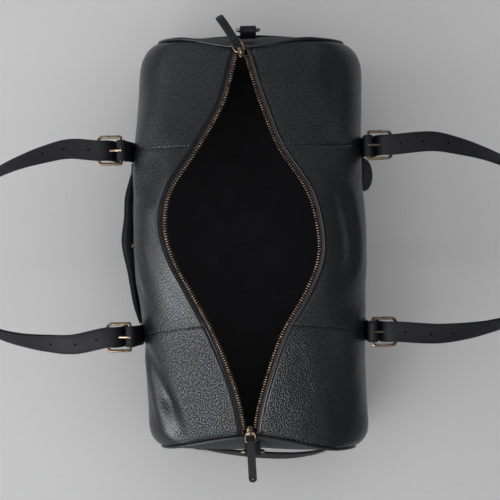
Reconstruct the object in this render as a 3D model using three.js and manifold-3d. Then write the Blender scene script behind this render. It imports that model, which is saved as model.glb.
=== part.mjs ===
// A leather gym bag, standing open on the floor. Millimetres, +Z up.
// The bag lies along Y: -Y is its near end and +Y its far end, -X its left side and +X its right.
// The origin is the centre of the base, on the floor.
import * as THREE from "three";
import { mergeVertices } from "three/addons/utils/BufferGeometryUtils.js";
import Module from "manifold-3d";

const wasm = await Module();
wasm.setup();

// Sheet thicknesses, and the gap kept between pieces
const LEATHER = 2.2;
const LINING = 1.0;
const GAP = 0.4;
const BASE_GAP = 1.6;
const TAPE_GAP = 1.6;
const LINING_GAP = 3.0;
const LINING_STOPS = [-212, -194, -140, -80, -25, 25, 85, 145, 196, 214];

// Body: half length, half width of the base, belly and corners
const END = 231.5;
const BASE_SEAM = 82;
const BELLY = 3;
const BELLY_Z = 62;
const CORNER_NEAR = 33;
const CORNER_FAR = 38;
const CORNER_POWER = 2.6;
const CORNER_OPEN = 4;
const DIP_NEAR = 17;
const DIP_FAR = 11;
const DIP_REACH_NEAR = 110;
const DIP_REACH_FAR = 80;
const DIP_FLAT = 3;
const DIP_LOW = 70;
const DIP_HIGH = 150;
const ZIP_X = -7.5;
const LEAN_NEAR = 2;
const LEAN_FAR = -2;
const LEAN_REACH = 100;
const BASE_TURN = 26;
const BASE_RISE = 14;
const BASE_STOPS = [0.84, 0.9, 0.94, 0.97, 0.985, 1];
const WALL_EASE = 45;

// Sections along the bag: half widths of the two walls, height where they turn over,
// and the zip line on each side with its height
const STATIONS = [
  { y: -222, left: 125.0, right: 131.0, shoulder: 158, zipLeft: 10.5, zipRight: -4.5, zipZ: 223 },
  { y: -190, left: 124.5, right: 128.5, shoulder: 164, zipLeft: 15.0, zipRight: 0.2, zipZ: 231 },
  { y: -155, left: 125.0, right: 127.0, shoulder: 173, zipLeft: 23.0, zipRight: 9.5, zipZ: 240 },
  { y: -101, left: 126.5, right: 126.0, shoulder: 190, zipLeft: 43.0, zipRight: 29.0, zipZ: 251 },
  { y: -50, left: 131.5, right: 127.0, shoulder: 201, zipLeft: 68.5, zipRight: 58.0, zipZ: 259 },
  { y: -15, left: 134.0, right: 128.0, shoulder: 205, zipLeft: 86.5, zipRight: 71.0, zipZ: 262 },
  { y: 20, left: 134.5, right: 128.0, shoulder: 206, zipLeft: 94.5, zipRight: 70.5, zipZ: 262 },
  { y: 60, left: 134.0, right: 126.0, shoulder: 202, zipLeft: 88.0, zipRight: 59.5, zipZ: 260 },
  { y: 109, left: 132.5, right: 126.0, shoulder: 191, zipLeft: 56.5, zipRight: 29.5, zipZ: 252 },
  { y: 155, left: 129.5, right: 128.0, shoulder: 175, zipLeft: 30.0, zipRight: 12.5, zipZ: 241 },
  { y: 182, left: 127.5, right: 129.5, shoulder: 167, zipLeft: 21.0, zipRight: 4.2, zipZ: 234 },
  { y: 222, left: 126.0, right: 130.0, shoulder: 160, zipLeft: 11.0, zipRight: -6.5, zipZ: 225 },
];

// Soft dents in the top and shoulders: where, how deep, and how far they reach along and across
const DENTS = [
  { side: -1, y: 76, below: 44, depth: 5.0, along: 26, across: 26 },
  { side: -1, y: -140, below: 92, depth: 4.5, along: 46, across: 20 },
  { side: -1, y: -15, below: 18, depth: 2.0, along: 46, across: 16 },
  { side: 1, y: 15, below: 38, depth: 4.0, along: 52, across: 15 },
  { side: 1, y: 150, below: 80, depth: 3.0, along: 34, across: 26 },
  { side: 1, y: -72, below: 70, depth: 3.0, along: 24, across: 24 },
];

// Side panels, from end to end, joined under the buckle straps
const SEAM_NEAR = -101;
const SEAM_FAR = 109;
const SEAM_PULL = 12;
const PANELS = [
  { name: "near", from: -END, to: SEAM_NEAR, steps: 6 },
  { name: "mid", from: SEAM_NEAR, to: SEAM_FAR, steps: 10 },
  { name: "far", from: SEAM_FAR, to: END, steps: 6 },
];

// Columns of a panel round the section: over the top, down the wall, and under at the base
const TOP_COLUMNS = 6;
const WALL_COLUMNS = 2;
const BASE_COLUMNS = 4;
const PANEL_COLUMNS = TOP_COLUMNS + WALL_COLUMNS + BASE_COLUMNS;

// Zip: distances below the zip line, and the run of its teeth
const LEATHER_EDGE = 9;
const TAPE_EDGE = 3.3;
const TAPE_UNDER = 13;
const TAPE = 1.0;
const LINING_EDGE = 20;
const TEETH_OVER = 1.8;
const TEETH_BACK = 2.5;
const TEETH_TOP = 1.4;
const TEETH_DEEP = 4.8;
const TEETH_NEAR = -202.4;
const TEETH_FAR = 209.5;
const ZIP_STEPS = 22;

// End panels and the piping round them
const PIPING_R = 1.6;
const PIPING_INSET = 2.4;
const PIPING_SIDES = 6;
const PIPING_GAP = 0.8;
const BULGE_NEAR = 6.6;
const BULGE_FAR = 8;
const BULGE_POWER = 3;
const RIM_OUT = 1.0;
const DISH_RINGS = [1, 0.88, 0.66, 0.36];
const LOOP_CENTRE_Z = 118;

// Buckles: the frame, its bar and prong
const BAR_Z = 214;
const BAR_HALF = 1.7;
const FRAME_LENGTH = 27.5;
const FRAME_HALF = 17;
const FRAME_DEPTH = 3.2;
const RAIL = 3.6;
const EYE_IN = 2.8;
const EYE_OUT = 4.8;
const PRONG_WIDTH = 3.0;
const PRONG_EYE = 4.1;
const SLOT_ROOM = 1.4;
const TONGUE = [
  { out: 2.9, top: 1.0, low: -1.2 },
  { out: 24, top: -2.1, low: -4.0 },
  { out: 28.5, top: -2.4, low: -3.7 },
];
const BUCKLES = [
  { name: "left_far", side: -1, end: 1, y: SEAM_FAR, bar: 146 },
  { name: "left_near", side: -1, end: -1, y: SEAM_NEAR, bar: 140 },
  { name: "right_far", side: 1, end: 1, y: SEAM_FAR, bar: 132 },
  { name: "right_near", side: 1, end: -1, y: SEAM_NEAR, bar: 133 },
];

// Buckle straps, sewn up the walls
const STRAP_WIDTH = 23;
const STRAP = 2.6;
const STRAP_FOOT = 26;
const STRAP_HEIGHTS = [STRAP_FOOT, 50, 80, 110, 140, 168];
const STRAP_GAP = 1.2;
const FOLD_STOPS = [-8, -0.5];

// Carry handles: strap, punched holes, and the way from the buckles out to the middle
const HANDLE = 3.0;
const HOLE_R = 1.8;
const HOLE_FIRST = 36;
const HOLE_PITCH = 27;
const HOLE_COUNT = 3;
const ARM_Y = 60;
const ARM_Z = 174;
const TAIL = [
  { out: 8.0, up: -58 },
  { out: 8.2, up: -40 },
  { out: 8.8, up: -24 },
  { out: 10.0, up: -12 },
  { out: 12.6, up: -3.6 },
  { out: 17.5, up: 2.0 },
  { out: 26.5, up: 3.7 },
];
const ROUTE = [
  { out: 205, far: 112, near: -104.5, z: 212, tilt: 18 },
  { out: 235, far: 106.5, near: -103, z: 206, tilt: 36 },
  { out: 262, far: 99, near: -99.5, z: 199, tilt: 52 },
  { out: 290, far: 88, near: -92.5, z: 191, tilt: 62 },
  { out: 320, far: 71, near: -78, z: 182, tilt: 70 },
  { out: 346, far: 44, near: -52, z: 174, tilt: 75 },
];
const APEX = { out: 360, y: -4, z: 170, tilt: 77 };

// End handles: flat straps across the end panels
const END_HANDLE_Z = 118;
const END_HANDLE_WIDTH = 22;
const END_HANDLE_STEPS = 12;
const END_STRAPS = [
  { name: "near", end: -1, x: 12, reach: 88, bow: 8, tilt: 8, left: 2.6, right: 1.2 },
  { name: "far", end: 1, x: 0, reach: 78, bow: 0.4, tilt: 0, left: 1.5, right: 1.5 },
];

// Rings at the ends: tab, bar height and reach from the bag's centre
const TAB_WIDTH = 18;
const TAB = 2.4;
const RING_WIRE = 3.4;
const RING_INNER = 21;
const RING_DROP = 13;
const RING_EYE_IN = 2.7;
const RING_EYE_OUT = 4.6;
const RINGS = [
  { name: "near", end: -1, x: -5, reach: 233.5, z: 208, path: [[221.6, 218.4], [226.4, 214.2], [230.4, 210.6]] },
  { name: "far", end: 1, x: -0.5, reach: 242, z: 212, path: [[234.8, 196.5], [237.1, 203], [239.8, 208.4]] },
];

// Zip sliders, their rings and leather pullers
const SLIDER_LENGTH = 10;
const SLIDER_WIDTH = 9;
const SLIDER_LOW = -4.6;
const SLIDER_TOP = 1.2;
const SLIDER_ROUND = 3.4;
const BRIDGE = { length: 4.4, height: 5.0, wire: 1.5, width: 3, sink: 0.6 };
const PULL_WIRE = 1.6;
const PULL_RING = { width: 12.8, length: 13, bow: 5.4, bowIn: 4.0, corner: 2.6, cornerIn: 0.5 };
const PULLER = { width: 8.6, thick: 3, eyeIn: 1.35, eyeOut: 3.0 };
const SLIDERS = [
  { name: "near", end: -1, y: -208.4, turn: 2, fall: [[2.4, 0], [15, -0.5], [30, -3.5], [46, -9]] },
  { name: "far", end: 1, y: 215.5, turn: 30, fall: [[2.4, 0], [11, -0.2], [22, -4.5], [31, -13], [37.5, -24.5]] },
];

// Slip pocket on the left wall, and the stud inside its mouth
const POCKET_SIDE = 13;
const POCKET_LOW = 34;
const POCKET_TOP = 182;
const POCKET_GAP = 1.5;
const POCKET_GAPE = 9.5;
const POCKET_FULL = 0.6;
const POCKET_STEPS = 10;
const POCKET_ROWS = 4;
const STUD_Z = 177;
const STUD_Y = 2;
const STUD_R = 4;
const STUD_DOME = [
  { radius: 0, height: 0 },
  { radius: STUD_R, height: 0 },
  { radius: STUD_R, height: 1 },
  { radius: 0.7 * STUD_R, height: 2 },
  { radius: 0, height: 2.4 },
];

// Stitched tab beside the far right buckle
const TAB_SIDE = { length: 38, width: 22, thick: 2.6, round: 10, x: 134.2, y: 77, z: 187, lean: 57 };

// Finishes
const GRAINED = { color: 0x1c1e22, roughness: 0.5, metalness: 0 };
const STRAPPING = { color: 0x1a1b1e, roughness: 0.42, metalness: 0 };
const CLOTH = { color: 0x111114, roughness: 0.9, metalness: 0 };
const WEBBING = { color: 0x0d0d0f, roughness: 0.85, metalness: 0 };
const BRASS = { color: 0x8f7650, roughness: 0.35, metalness: 1 };

const bag = new THREE.Group();
bag.name = "gym_bag";

function add(name, geometry, finish) {
  const material = new THREE.MeshStandardMaterial(finish);
  const mesh = new THREE.Mesh(geometry, material);
  mesh.name = name;
  bag.add(mesh);
}

// Geometry helpers

function solid(points, faces) {
  let volume = 0;
  for (const [a, b, c] of faces) {
    volume += points[a].dot(points[b].clone().cross(points[c]));
  }
  const order = volume < 0 ? faces.map(([a, b, c]) => [a, c, b]) : faces;
  const geometry = new THREE.BufferGeometry().setFromPoints(points);
  geometry.setIndex(order.flat());
  geometry.computeVertexNormals();
  return geometry;
}

// A closed sheet between two matching grids of points, outer and inner
function sheet(outer, inner) {
  const rows = outer.length;
  const columns = outer[0].length;
  const at = (layer, i, j) => (layer * rows + i) * columns + j;
  const faces = [];
  const quad = (a, b, c, d) => faces.push([a, b, c], [a, c, d]);
  for (let i = 0; i < rows - 1; i += 1) {
    for (let j = 0; j < columns - 1; j += 1) {
      quad(at(0, i, j), at(0, i + 1, j), at(0, i + 1, j + 1), at(0, i, j + 1));
      quad(at(1, i, j), at(1, i, j + 1), at(1, i + 1, j + 1), at(1, i + 1, j));
    }
  }
  const last = columns - 1;
  for (let i = 0; i < rows - 1; i += 1) {
    quad(at(0, i + 1, 0), at(0, i, 0), at(1, i, 0), at(1, i + 1, 0));
    quad(at(0, i, last), at(0, i + 1, last), at(1, i + 1, last), at(1, i, last));
  }
  for (let j = 0; j < last; j += 1) {
    quad(at(0, 0, j), at(0, 0, j + 1), at(1, 0, j + 1), at(1, 0, j));
    quad(at(0, rows - 1, j + 1), at(0, rows - 1, j), at(1, rows - 1, j), at(1, rows - 1, j + 1));
  }
  return solid([...outer.flat(), ...inner.flat()], faces);
}

// A closed body through rings of points, its two ends capped by fans
function loft(rings, closed) {
  const count = rings.length;
  const sides = rings[0].length;
  const points = rings.flat();
  const faces = [];
  for (let i = 0; i < (closed ? count : count - 1); i += 1) {
    const next = (i + 1) % count;
    for (let j = 0; j < sides; j += 1) {
      const k = (j + 1) % sides;
      faces.push([i * sides + j, next * sides + j, next * sides + k]);
      faces.push([i * sides + j, next * sides + k, i * sides + k]);
    }
  }
  if (!closed) {
    for (let j = 1; j < sides - 1; j += 1) {
      faces.push([0, j, j + 1]);
      faces.push([(count - 1) * sides, (count - 1) * sides + j + 1, (count - 1) * sides + j]);
    }
  }
  return solid(points, faces);
}

// A flat strap along frames of a point, the way across it and its face normal
function strap(frames, width, thick) {
  const rings = frames.map(({ point, across, normal }) =>
    [[-1, -1], [1, -1], [1, 1], [-1, 1]].map(([a, n]) =>
      point.clone().addScaledVector(across, (a * width) / 2).addScaledVector(normal, (n * thick) / 2)));
  return loft(rings, false);
}

// A plate of the given outline, centred on its own plane, with bevelled edges
function plate(shape, depth, bevel, segments = 6) {
  const geometry = new THREE.ExtrudeGeometry(shape, {
    depth: depth - 2 * bevel,
    bevelEnabled: bevel > 0,
    bevelThickness: bevel,
    bevelSize: bevel,
    bevelOffset: -bevel,
    bevelSegments: 1,
    curveSegments: segments,
  });
  geometry.translate(0, 0, bevel - depth / 2);
  return geometry;
}

// A rectangle with its four corners rounded by their own radii
function roundedBox(x0, y0, x1, y1, near, far = near) {
  const shape = new THREE.Shape();
  shape.moveTo(x0 + near, y0);
  shape.lineTo(x1 - far, y0);
  shape.absarc(x1 - far, y0 + far, far, -Math.PI / 2, 0, false);
  shape.lineTo(x1, y1 - far);
  shape.absarc(x1 - far, y1 - far, far, 0, Math.PI / 2, false);
  shape.lineTo(x0 + near, y1);
  shape.absarc(x0 + near, y1 - near, near, Math.PI / 2, Math.PI, false);
  shape.lineTo(x0, y0 + near);
  shape.absarc(x0 + near, y0 + near, near, Math.PI, 1.5 * Math.PI, false);
  return shape;
}

// A strip along a plane curve, with an eye at its end, lying in XY with its width along Z
function eyedStrip(points, thick, width, eye, eyeIn, eyeOut) {
  const curve = new THREE.SplineCurve(points.map(([x, y]) => new THREE.Vector2(x, y)));
  const steps = points.length + 3;
  const sides = [1, -1].map((sign) => {
    const line = [];
    for (let i = 0; i <= steps; i += 1) {
      const point = curve.getPointAt(i / steps);
      const along = curve.getTangentAt(i / steps);
      line.push(new THREE.Vector2(point.x - along.y * sign * thick / 2, point.y + along.x * sign * thick / 2));
    }
    return line;
  });
  const strip = new THREE.Shape([...sides[0], ...sides[1].reverse()]);
  const boss = new THREE.Shape().absarc(eye[0], eye[1], eyeOut, 0, 2 * Math.PI, false);
  const bore = new THREE.Shape().absarc(eye[0], eye[1], eyeIn, 0, 2 * Math.PI, false);
  const joined = toManifold(plate(strip, width, 0)).add(toManifold(plate(boss, width, 0, 5)));
  return joined.subtract(toManifold(plate(bore, width + 2, 0, 5)));
}

function toManifold(geometry) {
  const plain = geometry.clone();
  plain.deleteAttribute("normal");
  plain.deleteAttribute("uv");
  const merged = mergeVertices(plain, 1e-4);
  return new wasm.Manifold(new wasm.Mesh({
    numProp: 3,
    vertProperties: new Float32Array(merged.attributes.position.array),
    triVerts: new Uint32Array(merged.index.array),
  }));
}

function fromManifold(body) {
  const mesh = body.getMesh();
  const geometry = new THREE.BufferGeometry();
  geometry.setAttribute("position", new THREE.Float32BufferAttribute(mesh.vertProperties, 3));
  geometry.setIndex(new THREE.Uint32BufferAttribute(mesh.triVerts, 1));
  geometry.computeVertexNormals();
  return geometry;
}

// Body surface

// A column of the station table at y, by a cubic through its rows
function column(name, y) {
  const last = STATIONS.length - 1;
  const at = THREE.MathUtils.clamp(y, STATIONS[0].y, STATIONS[last].y);
  let i = 0;
  while (i < last - 1 && STATIONS[i + 1].y < at) i += 1;
  const slope = (k) => {
    const before = STATIONS[Math.max(k - 1, 0)];
    const after = STATIONS[Math.min(k + 1, last)];
    return (after[name] - before[name]) / (after.y - before.y);
  };
  const step = STATIONS[i + 1].y - STATIONS[i].y;
  const t = (at - STATIONS[i].y) / step;
  const rise = t * t * (3 - 2 * t);
  const leave = t * (1 - t) * (1 - t) * step * slope(i);
  const arrive = t * t * (t - 1) * step * slope(i + 1);
  return STATIONS[i][name] * (1 - rise) + STATIONS[i + 1][name] * rise + leave + arrive;
}

// How much further an end reaches at x: the near end leans out towards the right, the far end back
function lean(end, x) {
  return ((end < 0 ? LEAN_NEAR : LEAN_FAR) * x) / LEAN_REACH;
}

// How far the rounded corner in plan draws the wall in at y
function cornerInset(y, side) {
  const reach = y < 0 ? CORNER_NEAR : CORNER_FAR;
  const left = Math.max(END + lean(Math.sign(y), side * LEAN_REACH) + CORNER_OPEN - Math.abs(y), 0);
  if (left >= reach) return 0;
  const t = 1 - left / reach;
  return reach * (1 - (1 - t ** CORNER_POWER) ** (1 / CORNER_POWER));
}

const sections = new Map();

// The section's outline on one side at y, from the base seam up to the zip line
function section(y, side) {
  const key = `${y} ${side}`;
  if (!sections.has(key)) {
    const inset = cornerInset(y, side);
    const wall = column(side < 0 ? "left" : "right", y) - inset;
    const zip = column(side < 0 ? "zipLeft" : "zipRight", y);
    const shoulder = column("shoulder", y);
    const top = column("zipZ", y);
    const seam = BASE_SEAM - inset;
    const belly = wall + BELLY;
    const path = new THREE.Path();
    path.moveTo(seam, 0);
    path.bezierCurveTo(seam + BASE_TURN, 0, belly, BASE_RISE, belly, BELLY_Z);
    path.bezierCurveTo(belly, BELLY_Z + WALL_EASE, wall, shoulder - WALL_EASE, wall, shoulder);
    path.absellipse(zip, shoulder, wall - zip, top - shoulder, 0, Math.PI / 2, false, 0);
    sections.set(key, path);
  }
  return sections.get(key);
}

// How far the leather is dented in at a place
function dentAt(y, side, below) {
  return DENTS.filter((dent) => dent.side === side).reduce((depth, dent) => {
    const u = (y - dent.y) / dent.along;
    const v = (below - dent.below) / dent.across;
    return depth + dent.depth * Math.exp(-u * u - v * v);
  }, 0);
}

// A point of the outer surface, a distance below the zip line measured along the section
function skin(y, side, below) {
  const path = section(y, side);
  const length = path.getLength();
  const t = THREE.MathUtils.clamp(1 - below / length, 0, 1);
  const point = path.getPoint(t);
  const rise = path.getTangent(t);
  const dent = dentAt(y, side, below);
  const past = Math.min(below, 0);
  return new THREE.Vector3(side * (point.x + past - rise.y * dent), y, point.y + rise.x * dent);
}

// The same point moved inwards through the leather by a depth
function under(y, side, below, depth) {
  const point = skin(y, side, below);
  const along = skin(y + 0.4, side, below).sub(skin(y - 0.4, side, below));
  const reach = Math.min(below + 0.4, section(y, side).getLength());
  const down = skin(y, side, reach).sub(skin(y, side, reach - 0.8));
  const normal = along.cross(down).normalize();
  const outwards = new THREE.Vector3(point.x, 0, point.z - 100);
  if (normal.dot(outwards) < 0) normal.negate();
  return point.addScaledVector(normal, -depth);
}

// Half width of the wall at a height, by halving along the section
function wallAt(y, side, z) {
  const path = section(y, side);
  let low = 0;
  let high = 1;
  for (let i = 0; i < 30; i += 1) {
    const middle = (low + high) / 2;
    if (path.getPoint(middle).y < z) low = middle;
    else high = middle;
  }
  return path.getPoint(low).x;
}

// Where the body stops at an end: drawn in at the top, beside the zip
function endAt(end, x, z) {
  const dip = end < 0 ? DIP_NEAR : DIP_FAR;
  const reach = end < 0 ? DIP_REACH_NEAR : DIP_REACH_FAR;
  const t = THREE.MathUtils.smoothstep(Math.abs(x - ZIP_X), DIP_FLAT, reach);
  const high = THREE.MathUtils.smoothstep(z, DIP_LOW, DIP_HIGH);
  return end * (END + lean(end, x) - dip * (1 - t) * high);
}

// Distance below the zip line of a panel's column, closer together at the turns of the section
function columnBelow(y, side, j, edge = LEATHER_EDGE) {
  const path = section(y, side);
  const [base, wall] = path.getCurveLengths();
  const length = path.getLength();
  const past = j - TOP_COLUMNS;
  if (past <= 0) return THREE.MathUtils.lerp(edge, length - wall, j / TOP_COLUMNS);
  if (past <= WALL_COLUMNS) return THREE.MathUtils.lerp(length - wall, length - base, past / WALL_COLUMNS);
  return THREE.MathUtils.lerp(length - base, length, (past - WALL_COLUMNS) / BASE_COLUMNS);
}

// Where a panel's edge lies in one column: a seam less half its gap, or the end of the body.
// The open mouth draws the near seams towards the middle beside the zip.
function panelStop(y, side, j, gap) {
  const pull = y < 0 ? SEAM_PULL * Math.max(1 - j / TOP_COLUMNS, 0) : 0;
  if (Math.abs(y) < END) return y + pull + gap;
  const { x, z } = skin(y, side, columnBelow(y, side, j));
  return endAt(Math.sign(y), x, z);
}

function sidePanel(side, { from, to, steps }) {
  const closer = (t) => {
    if (from === -END) return 1 - Math.cos((t * Math.PI) / 2);
    return to === END ? Math.sin((t * Math.PI) / 2) : t;
  };
  const grid = (depth) => {
    const rows = [];
    for (let i = 0; i <= steps; i += 1) {
      const row = [];
      for (let j = 0; j <= PANEL_COLUMNS; j += 1) {
        const first = panelStop(from, side, j, GAP / 2);
        const final = panelStop(to, side, j, -GAP / 2);
        const y = THREE.MathUtils.lerp(first, final, closer(i / steps));
        row.push(under(y, side, columnBelow(y, side, j), depth));
      }
      rows.push(row);
    }
    return rows;
  };
  return sheet(grid(0), grid(LEATHER));
}

// The lining: a tub a little inside the panels, open at the mouth
function lining() {
  const tub = (depth, inset) => LINING_STOPS.map((stop) => {
    const y = stop * (1 - inset / END);
    const row = [];
    for (const side of [-1, 1]) {
      const line = [];
      for (let j = 0; j <= PANEL_COLUMNS; j += 1) {
        line.push(under(y, side, columnBelow(y, side, j, LINING_EDGE), depth));
      }
      row.push(...(side < 0 ? line : line.reverse()));
    }
    return row;
  });
  const shells = [tub(LEATHER + LINING_GAP, 0), tub(LEATHER + LINING_GAP + LINING, LINING)];
  const rows = LINING_STOPS.length;
  const width = shells[0][0].length;
  const points = [...shells[0].flat(), ...shells[1].flat()];
  const at = (layer, i, j) => (layer * rows + i) * width + j;
  const faces = [];
  const quad = (a, b, c, d) => faces.push([a, b, c], [a, c, d]);
  for (let i = 0; i < rows - 1; i += 1) {
    for (let j = 0; j < width - 1; j += 1) {
      quad(at(0, i, j), at(0, i + 1, j), at(0, i + 1, j + 1), at(0, i, j + 1));
      quad(at(1, i, j), at(1, i, j + 1), at(1, i + 1, j + 1), at(1, i + 1, j));
    }
    quad(at(0, i + 1, 0), at(0, i, 0), at(1, i, 0), at(1, i + 1, 0));
    quad(at(0, i, width - 1), at(0, i + 1, width - 1), at(1, i + 1, width - 1), at(1, i, width - 1));
  }
  for (const layer of [0, 1]) {
    for (const i of [0, rows - 1]) {
      const hub = points.length;
      points.push(new THREE.Vector3(0, points[at(layer, i, 0)].y, LOOP_CENTRE_Z));
      for (let j = 0; j < width; j += 1) {
        const k = (j + 1) % width;
        const turned = (layer === 0) === (i === 0);
        faces.push(turned ? [hub, at(layer, i, j), at(layer, i, k)] : [hub, at(layer, i, k), at(layer, i, j)]);
      }
    }
  }
  quad(at(0, 0, 0), at(0, 0, width - 1), at(1, 0, width - 1), at(1, 0, 0));
  quad(at(0, rows - 1, width - 1), at(0, rows - 1, 0), at(1, rows - 1, 0), at(1, rows - 1, width - 1));
  return solid(points, faces);
}

// Ends

// The outline of an end, once round: x, z and the y where the body stops, moved in by an inset
function endLoop(end, insetAt) {
  const line = [];
  for (const side of [-1, 1]) {
    const half = [];
    for (let j = 0; j <= PANEL_COLUMNS; j += 1) {
      const y = panelStop(end * END, side, j, 0);
      half.push(skin(y, side, columnBelow(y, side, j)));
    }
    line.push(...(side < 0 ? half : half.reverse()));
  }
  const count = line.length;
  return line.map((point, i) => {
    const before = line[(i + count - 1) % count];
    const after = line[(i + 1) % count];
    const along = new THREE.Vector2(after.x - before.x, after.z - before.z).normalize();
    const inset = insetAt(point.z);
    return new THREE.Vector3(point.x - along.y * inset, point.y, point.z + along.x * inset);
  });
}

function pipingInset(z) {
  const low = PIPING_R + GAP;
  return THREE.MathUtils.lerp(low, PIPING_INSET, THREE.MathUtils.smoothstep(z, 2, 40));
}

function piping(end) {
  const line = endLoop(end, pipingInset);
  const count = line.length;
  const endwise = new THREE.Vector3(0, end, 0);
  const rings = line.map((centre, i) => {
    const along = line[(i + 1) % count].clone().sub(line[(i + count - 1) % count]);
    const across = along.cross(endwise).normalize();
    const ring = [];
    for (let j = 0; j < PIPING_SIDES; j += 1) {
      const turn = (2 * Math.PI * j) / PIPING_SIDES;
      ring.push(centre.clone()
        .addScaledVector(across, PIPING_R * Math.cos(turn))
        .addScaledVector(endwise, PIPING_R * (1 + Math.sin(turn)) + PIPING_GAP));
    }
    return ring;
  });
  return loft(rings, true);
}

// Height of the end panel's outer face beyond the end, at a share of the way out to its rim
function dish(end, share) {
  const bulge = end < 0 ? BULGE_NEAR : BULGE_FAR;
  return RIM_OUT + LEATHER + bulge * (1 - share ** BULGE_POWER);
}

function endPanel(end) {
  const line = endLoop(end, (z) => pipingInset(z) + PIPING_R + GAP);
  const count = line.length;
  const points = [];
  const faces = [];
  for (const layer of [0, 1]) {
    for (const share of DISH_RINGS) {
      for (const rim of line) {
        const dip = (rim.y - end * END) * share ** 2;
        const y = end * (END + dish(end, share) - layer * LEATHER) + dip;
        points.push(new THREE.Vector3(rim.x * share, y, LOOP_CENTRE_Z + (rim.z - LOOP_CENTRE_Z) * share));
      }
    }
    points.push(new THREE.Vector3(0, end * (END + dish(end, 0) - layer * LEATHER), LOOP_CENTRE_Z));
  }
  const size = DISH_RINGS.length * count + 1;
  for (let i = 0; i < count; i += 1) {
    const k = (i + 1) % count;
    for (let r = 0; r < DISH_RINGS.length - 1; r += 1) {
      const a = r * count;
      const b = a + count;
      faces.push([a + i, a + k, b + k], [a + i, b + k, b + i]);
      faces.push([size + a + i, size + b + k, size + a + k], [size + a + i, size + b + i, size + b + k]);
    }
    const inner = (DISH_RINGS.length - 1) * count;
    faces.push([inner + i, inner + k, size - 1]);
    faces.push([size + inner + i, 2 * size - 1, size + inner + k]);
    faces.push([i, size + k, k], [i, size + i, size + k]);
  }
  return solid(points, faces);
}

// Outer face of an end panel at x, z, by the share of the way out to its rim
function endFace(end, x, z) {
  const line = endLoop(end, (height) => pipingInset(height) + PIPING_R + GAP);
  const away = Math.atan2(z - LOOP_CENTRE_Z, x);
  let rim = line[0];
  for (const point of line) {
    const turn = Math.atan2(point.z - LOOP_CENTRE_Z, point.x) - away;
    const best = Math.atan2(rim.z - LOOP_CENTRE_Z, rim.x) - away;
    if (Math.cos(turn) > Math.cos(best)) rim = point;
  }
  const share = Math.min(Math.hypot(x, z - LOOP_CENTRE_Z) / Math.hypot(rim.x, rim.z - LOOP_CENTRE_Z), 1);
  return END + dish(end, share) + (end * rim.y - END) * share ** 2;
}

function basePanel() {
  const reach = END - LEAN_NEAR - GAP;
  const stops = [...BASE_STOPS.map((share) => -share * reach).reverse(), ...BASE_STOPS.map((share) => share * reach)];
  const edge = (side) => stops.map((y) =>
    new THREE.Vector2(side * (BASE_SEAM - BASE_GAP - cornerInset(y, side)), y));
  const panel = plate(new THREE.Shape([...edge(1), ...edge(-1).reverse()]), LEATHER, 0);
  panel.translate(0, 0, LEATHER / 2);
  return panel;
}

// Zip

// A band along one side of the mouth, between two distances below the zip line and two depths
function zipBand(side, from, to, above, below, top, deep) {
  const grid = (depth) => {
    const rows = [];
    for (let i = 0; i <= ZIP_STEPS; i += 1) {
      const y = THREE.MathUtils.lerp(from, to, i / ZIP_STEPS);
      rows.push([above, below].map((distance) => under(y, side, distance, depth)));
    }
    return rows;
  };
  return sheet(grid(top), grid(deep));
}

// Slider with its bridge, centred at its own origin, lying along Y
function slider() {
  const half = SLIDER_LENGTH / 2;
  const outline = roundedBox(-SLIDER_WIDTH / 2, -half, SLIDER_WIDTH / 2, half, SLIDER_ROUND);
  const body = plate(outline, SLIDER_TOP - SLIDER_LOW, 0.8, 2);
  body.translate(0, 0, (SLIDER_TOP + SLIDER_LOW) / 2);
  const { length, height, wire, width, sink } = BRIDGE;
  const arch = new THREE.Shape();
  arch.moveTo(length, -sink);
  arch.absellipse(0, 0, length, height, 0, Math.PI, false, 0);
  arch.lineTo(-length, -sink);
  arch.lineTo(wire - length, -sink);
  arch.absellipse(0, 0, length - wire, height - wire, Math.PI, 0, true, 0);
  arch.lineTo(length - wire, -sink);
  const bridge = plate(arch, width, 0, 5);
  bridge.rotateX(Math.PI / 2);
  bridge.rotateZ(Math.PI / 2);
  bridge.translate(0, 0, SLIDER_TOP);
  return fromManifold(toManifold(body).add(toManifold(bridge)));
}

// Pull ring lying flat, its inner bar at the origin and its outer bar out along Y
function pullRing() {
  const { width, length, bow, bowIn, corner, cornerIn } = PULL_RING;
  const wire = PULL_WIRE;
  const half = width / 2;
  const ring = roundedBox(-wire / 2, -half, length - wire / 2, half, bow, corner);
  ring.holes.push(roundedBox(wire / 2, wire - half, length - 1.5 * wire, half - wire, bowIn, cornerIn));
  const body = plate(ring, wire, 0, 2);
  body.rotateZ(Math.PI / 2);
  return body;
}

// Puller: a folded strip that falls to a round end, its eye at the origin
function puller(fall) {
  const { width, thick, eyeIn, eyeOut } = PULLER;
  const reach = fall[fall.length - 1][0];
  const body = eyedStrip(fall, thick, width, [0, 0], eyeIn, eyeOut);
  const tip = roundedBox(-8, -width / 2, reach, width / 2, 0.01, width / 2 - 0.05);
  const trim = plate(tip, 90, 0, 3);
  trim.rotateX(Math.PI / 2);
  return fromManifold(body.intersect(toManifold(trim)));
}

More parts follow.
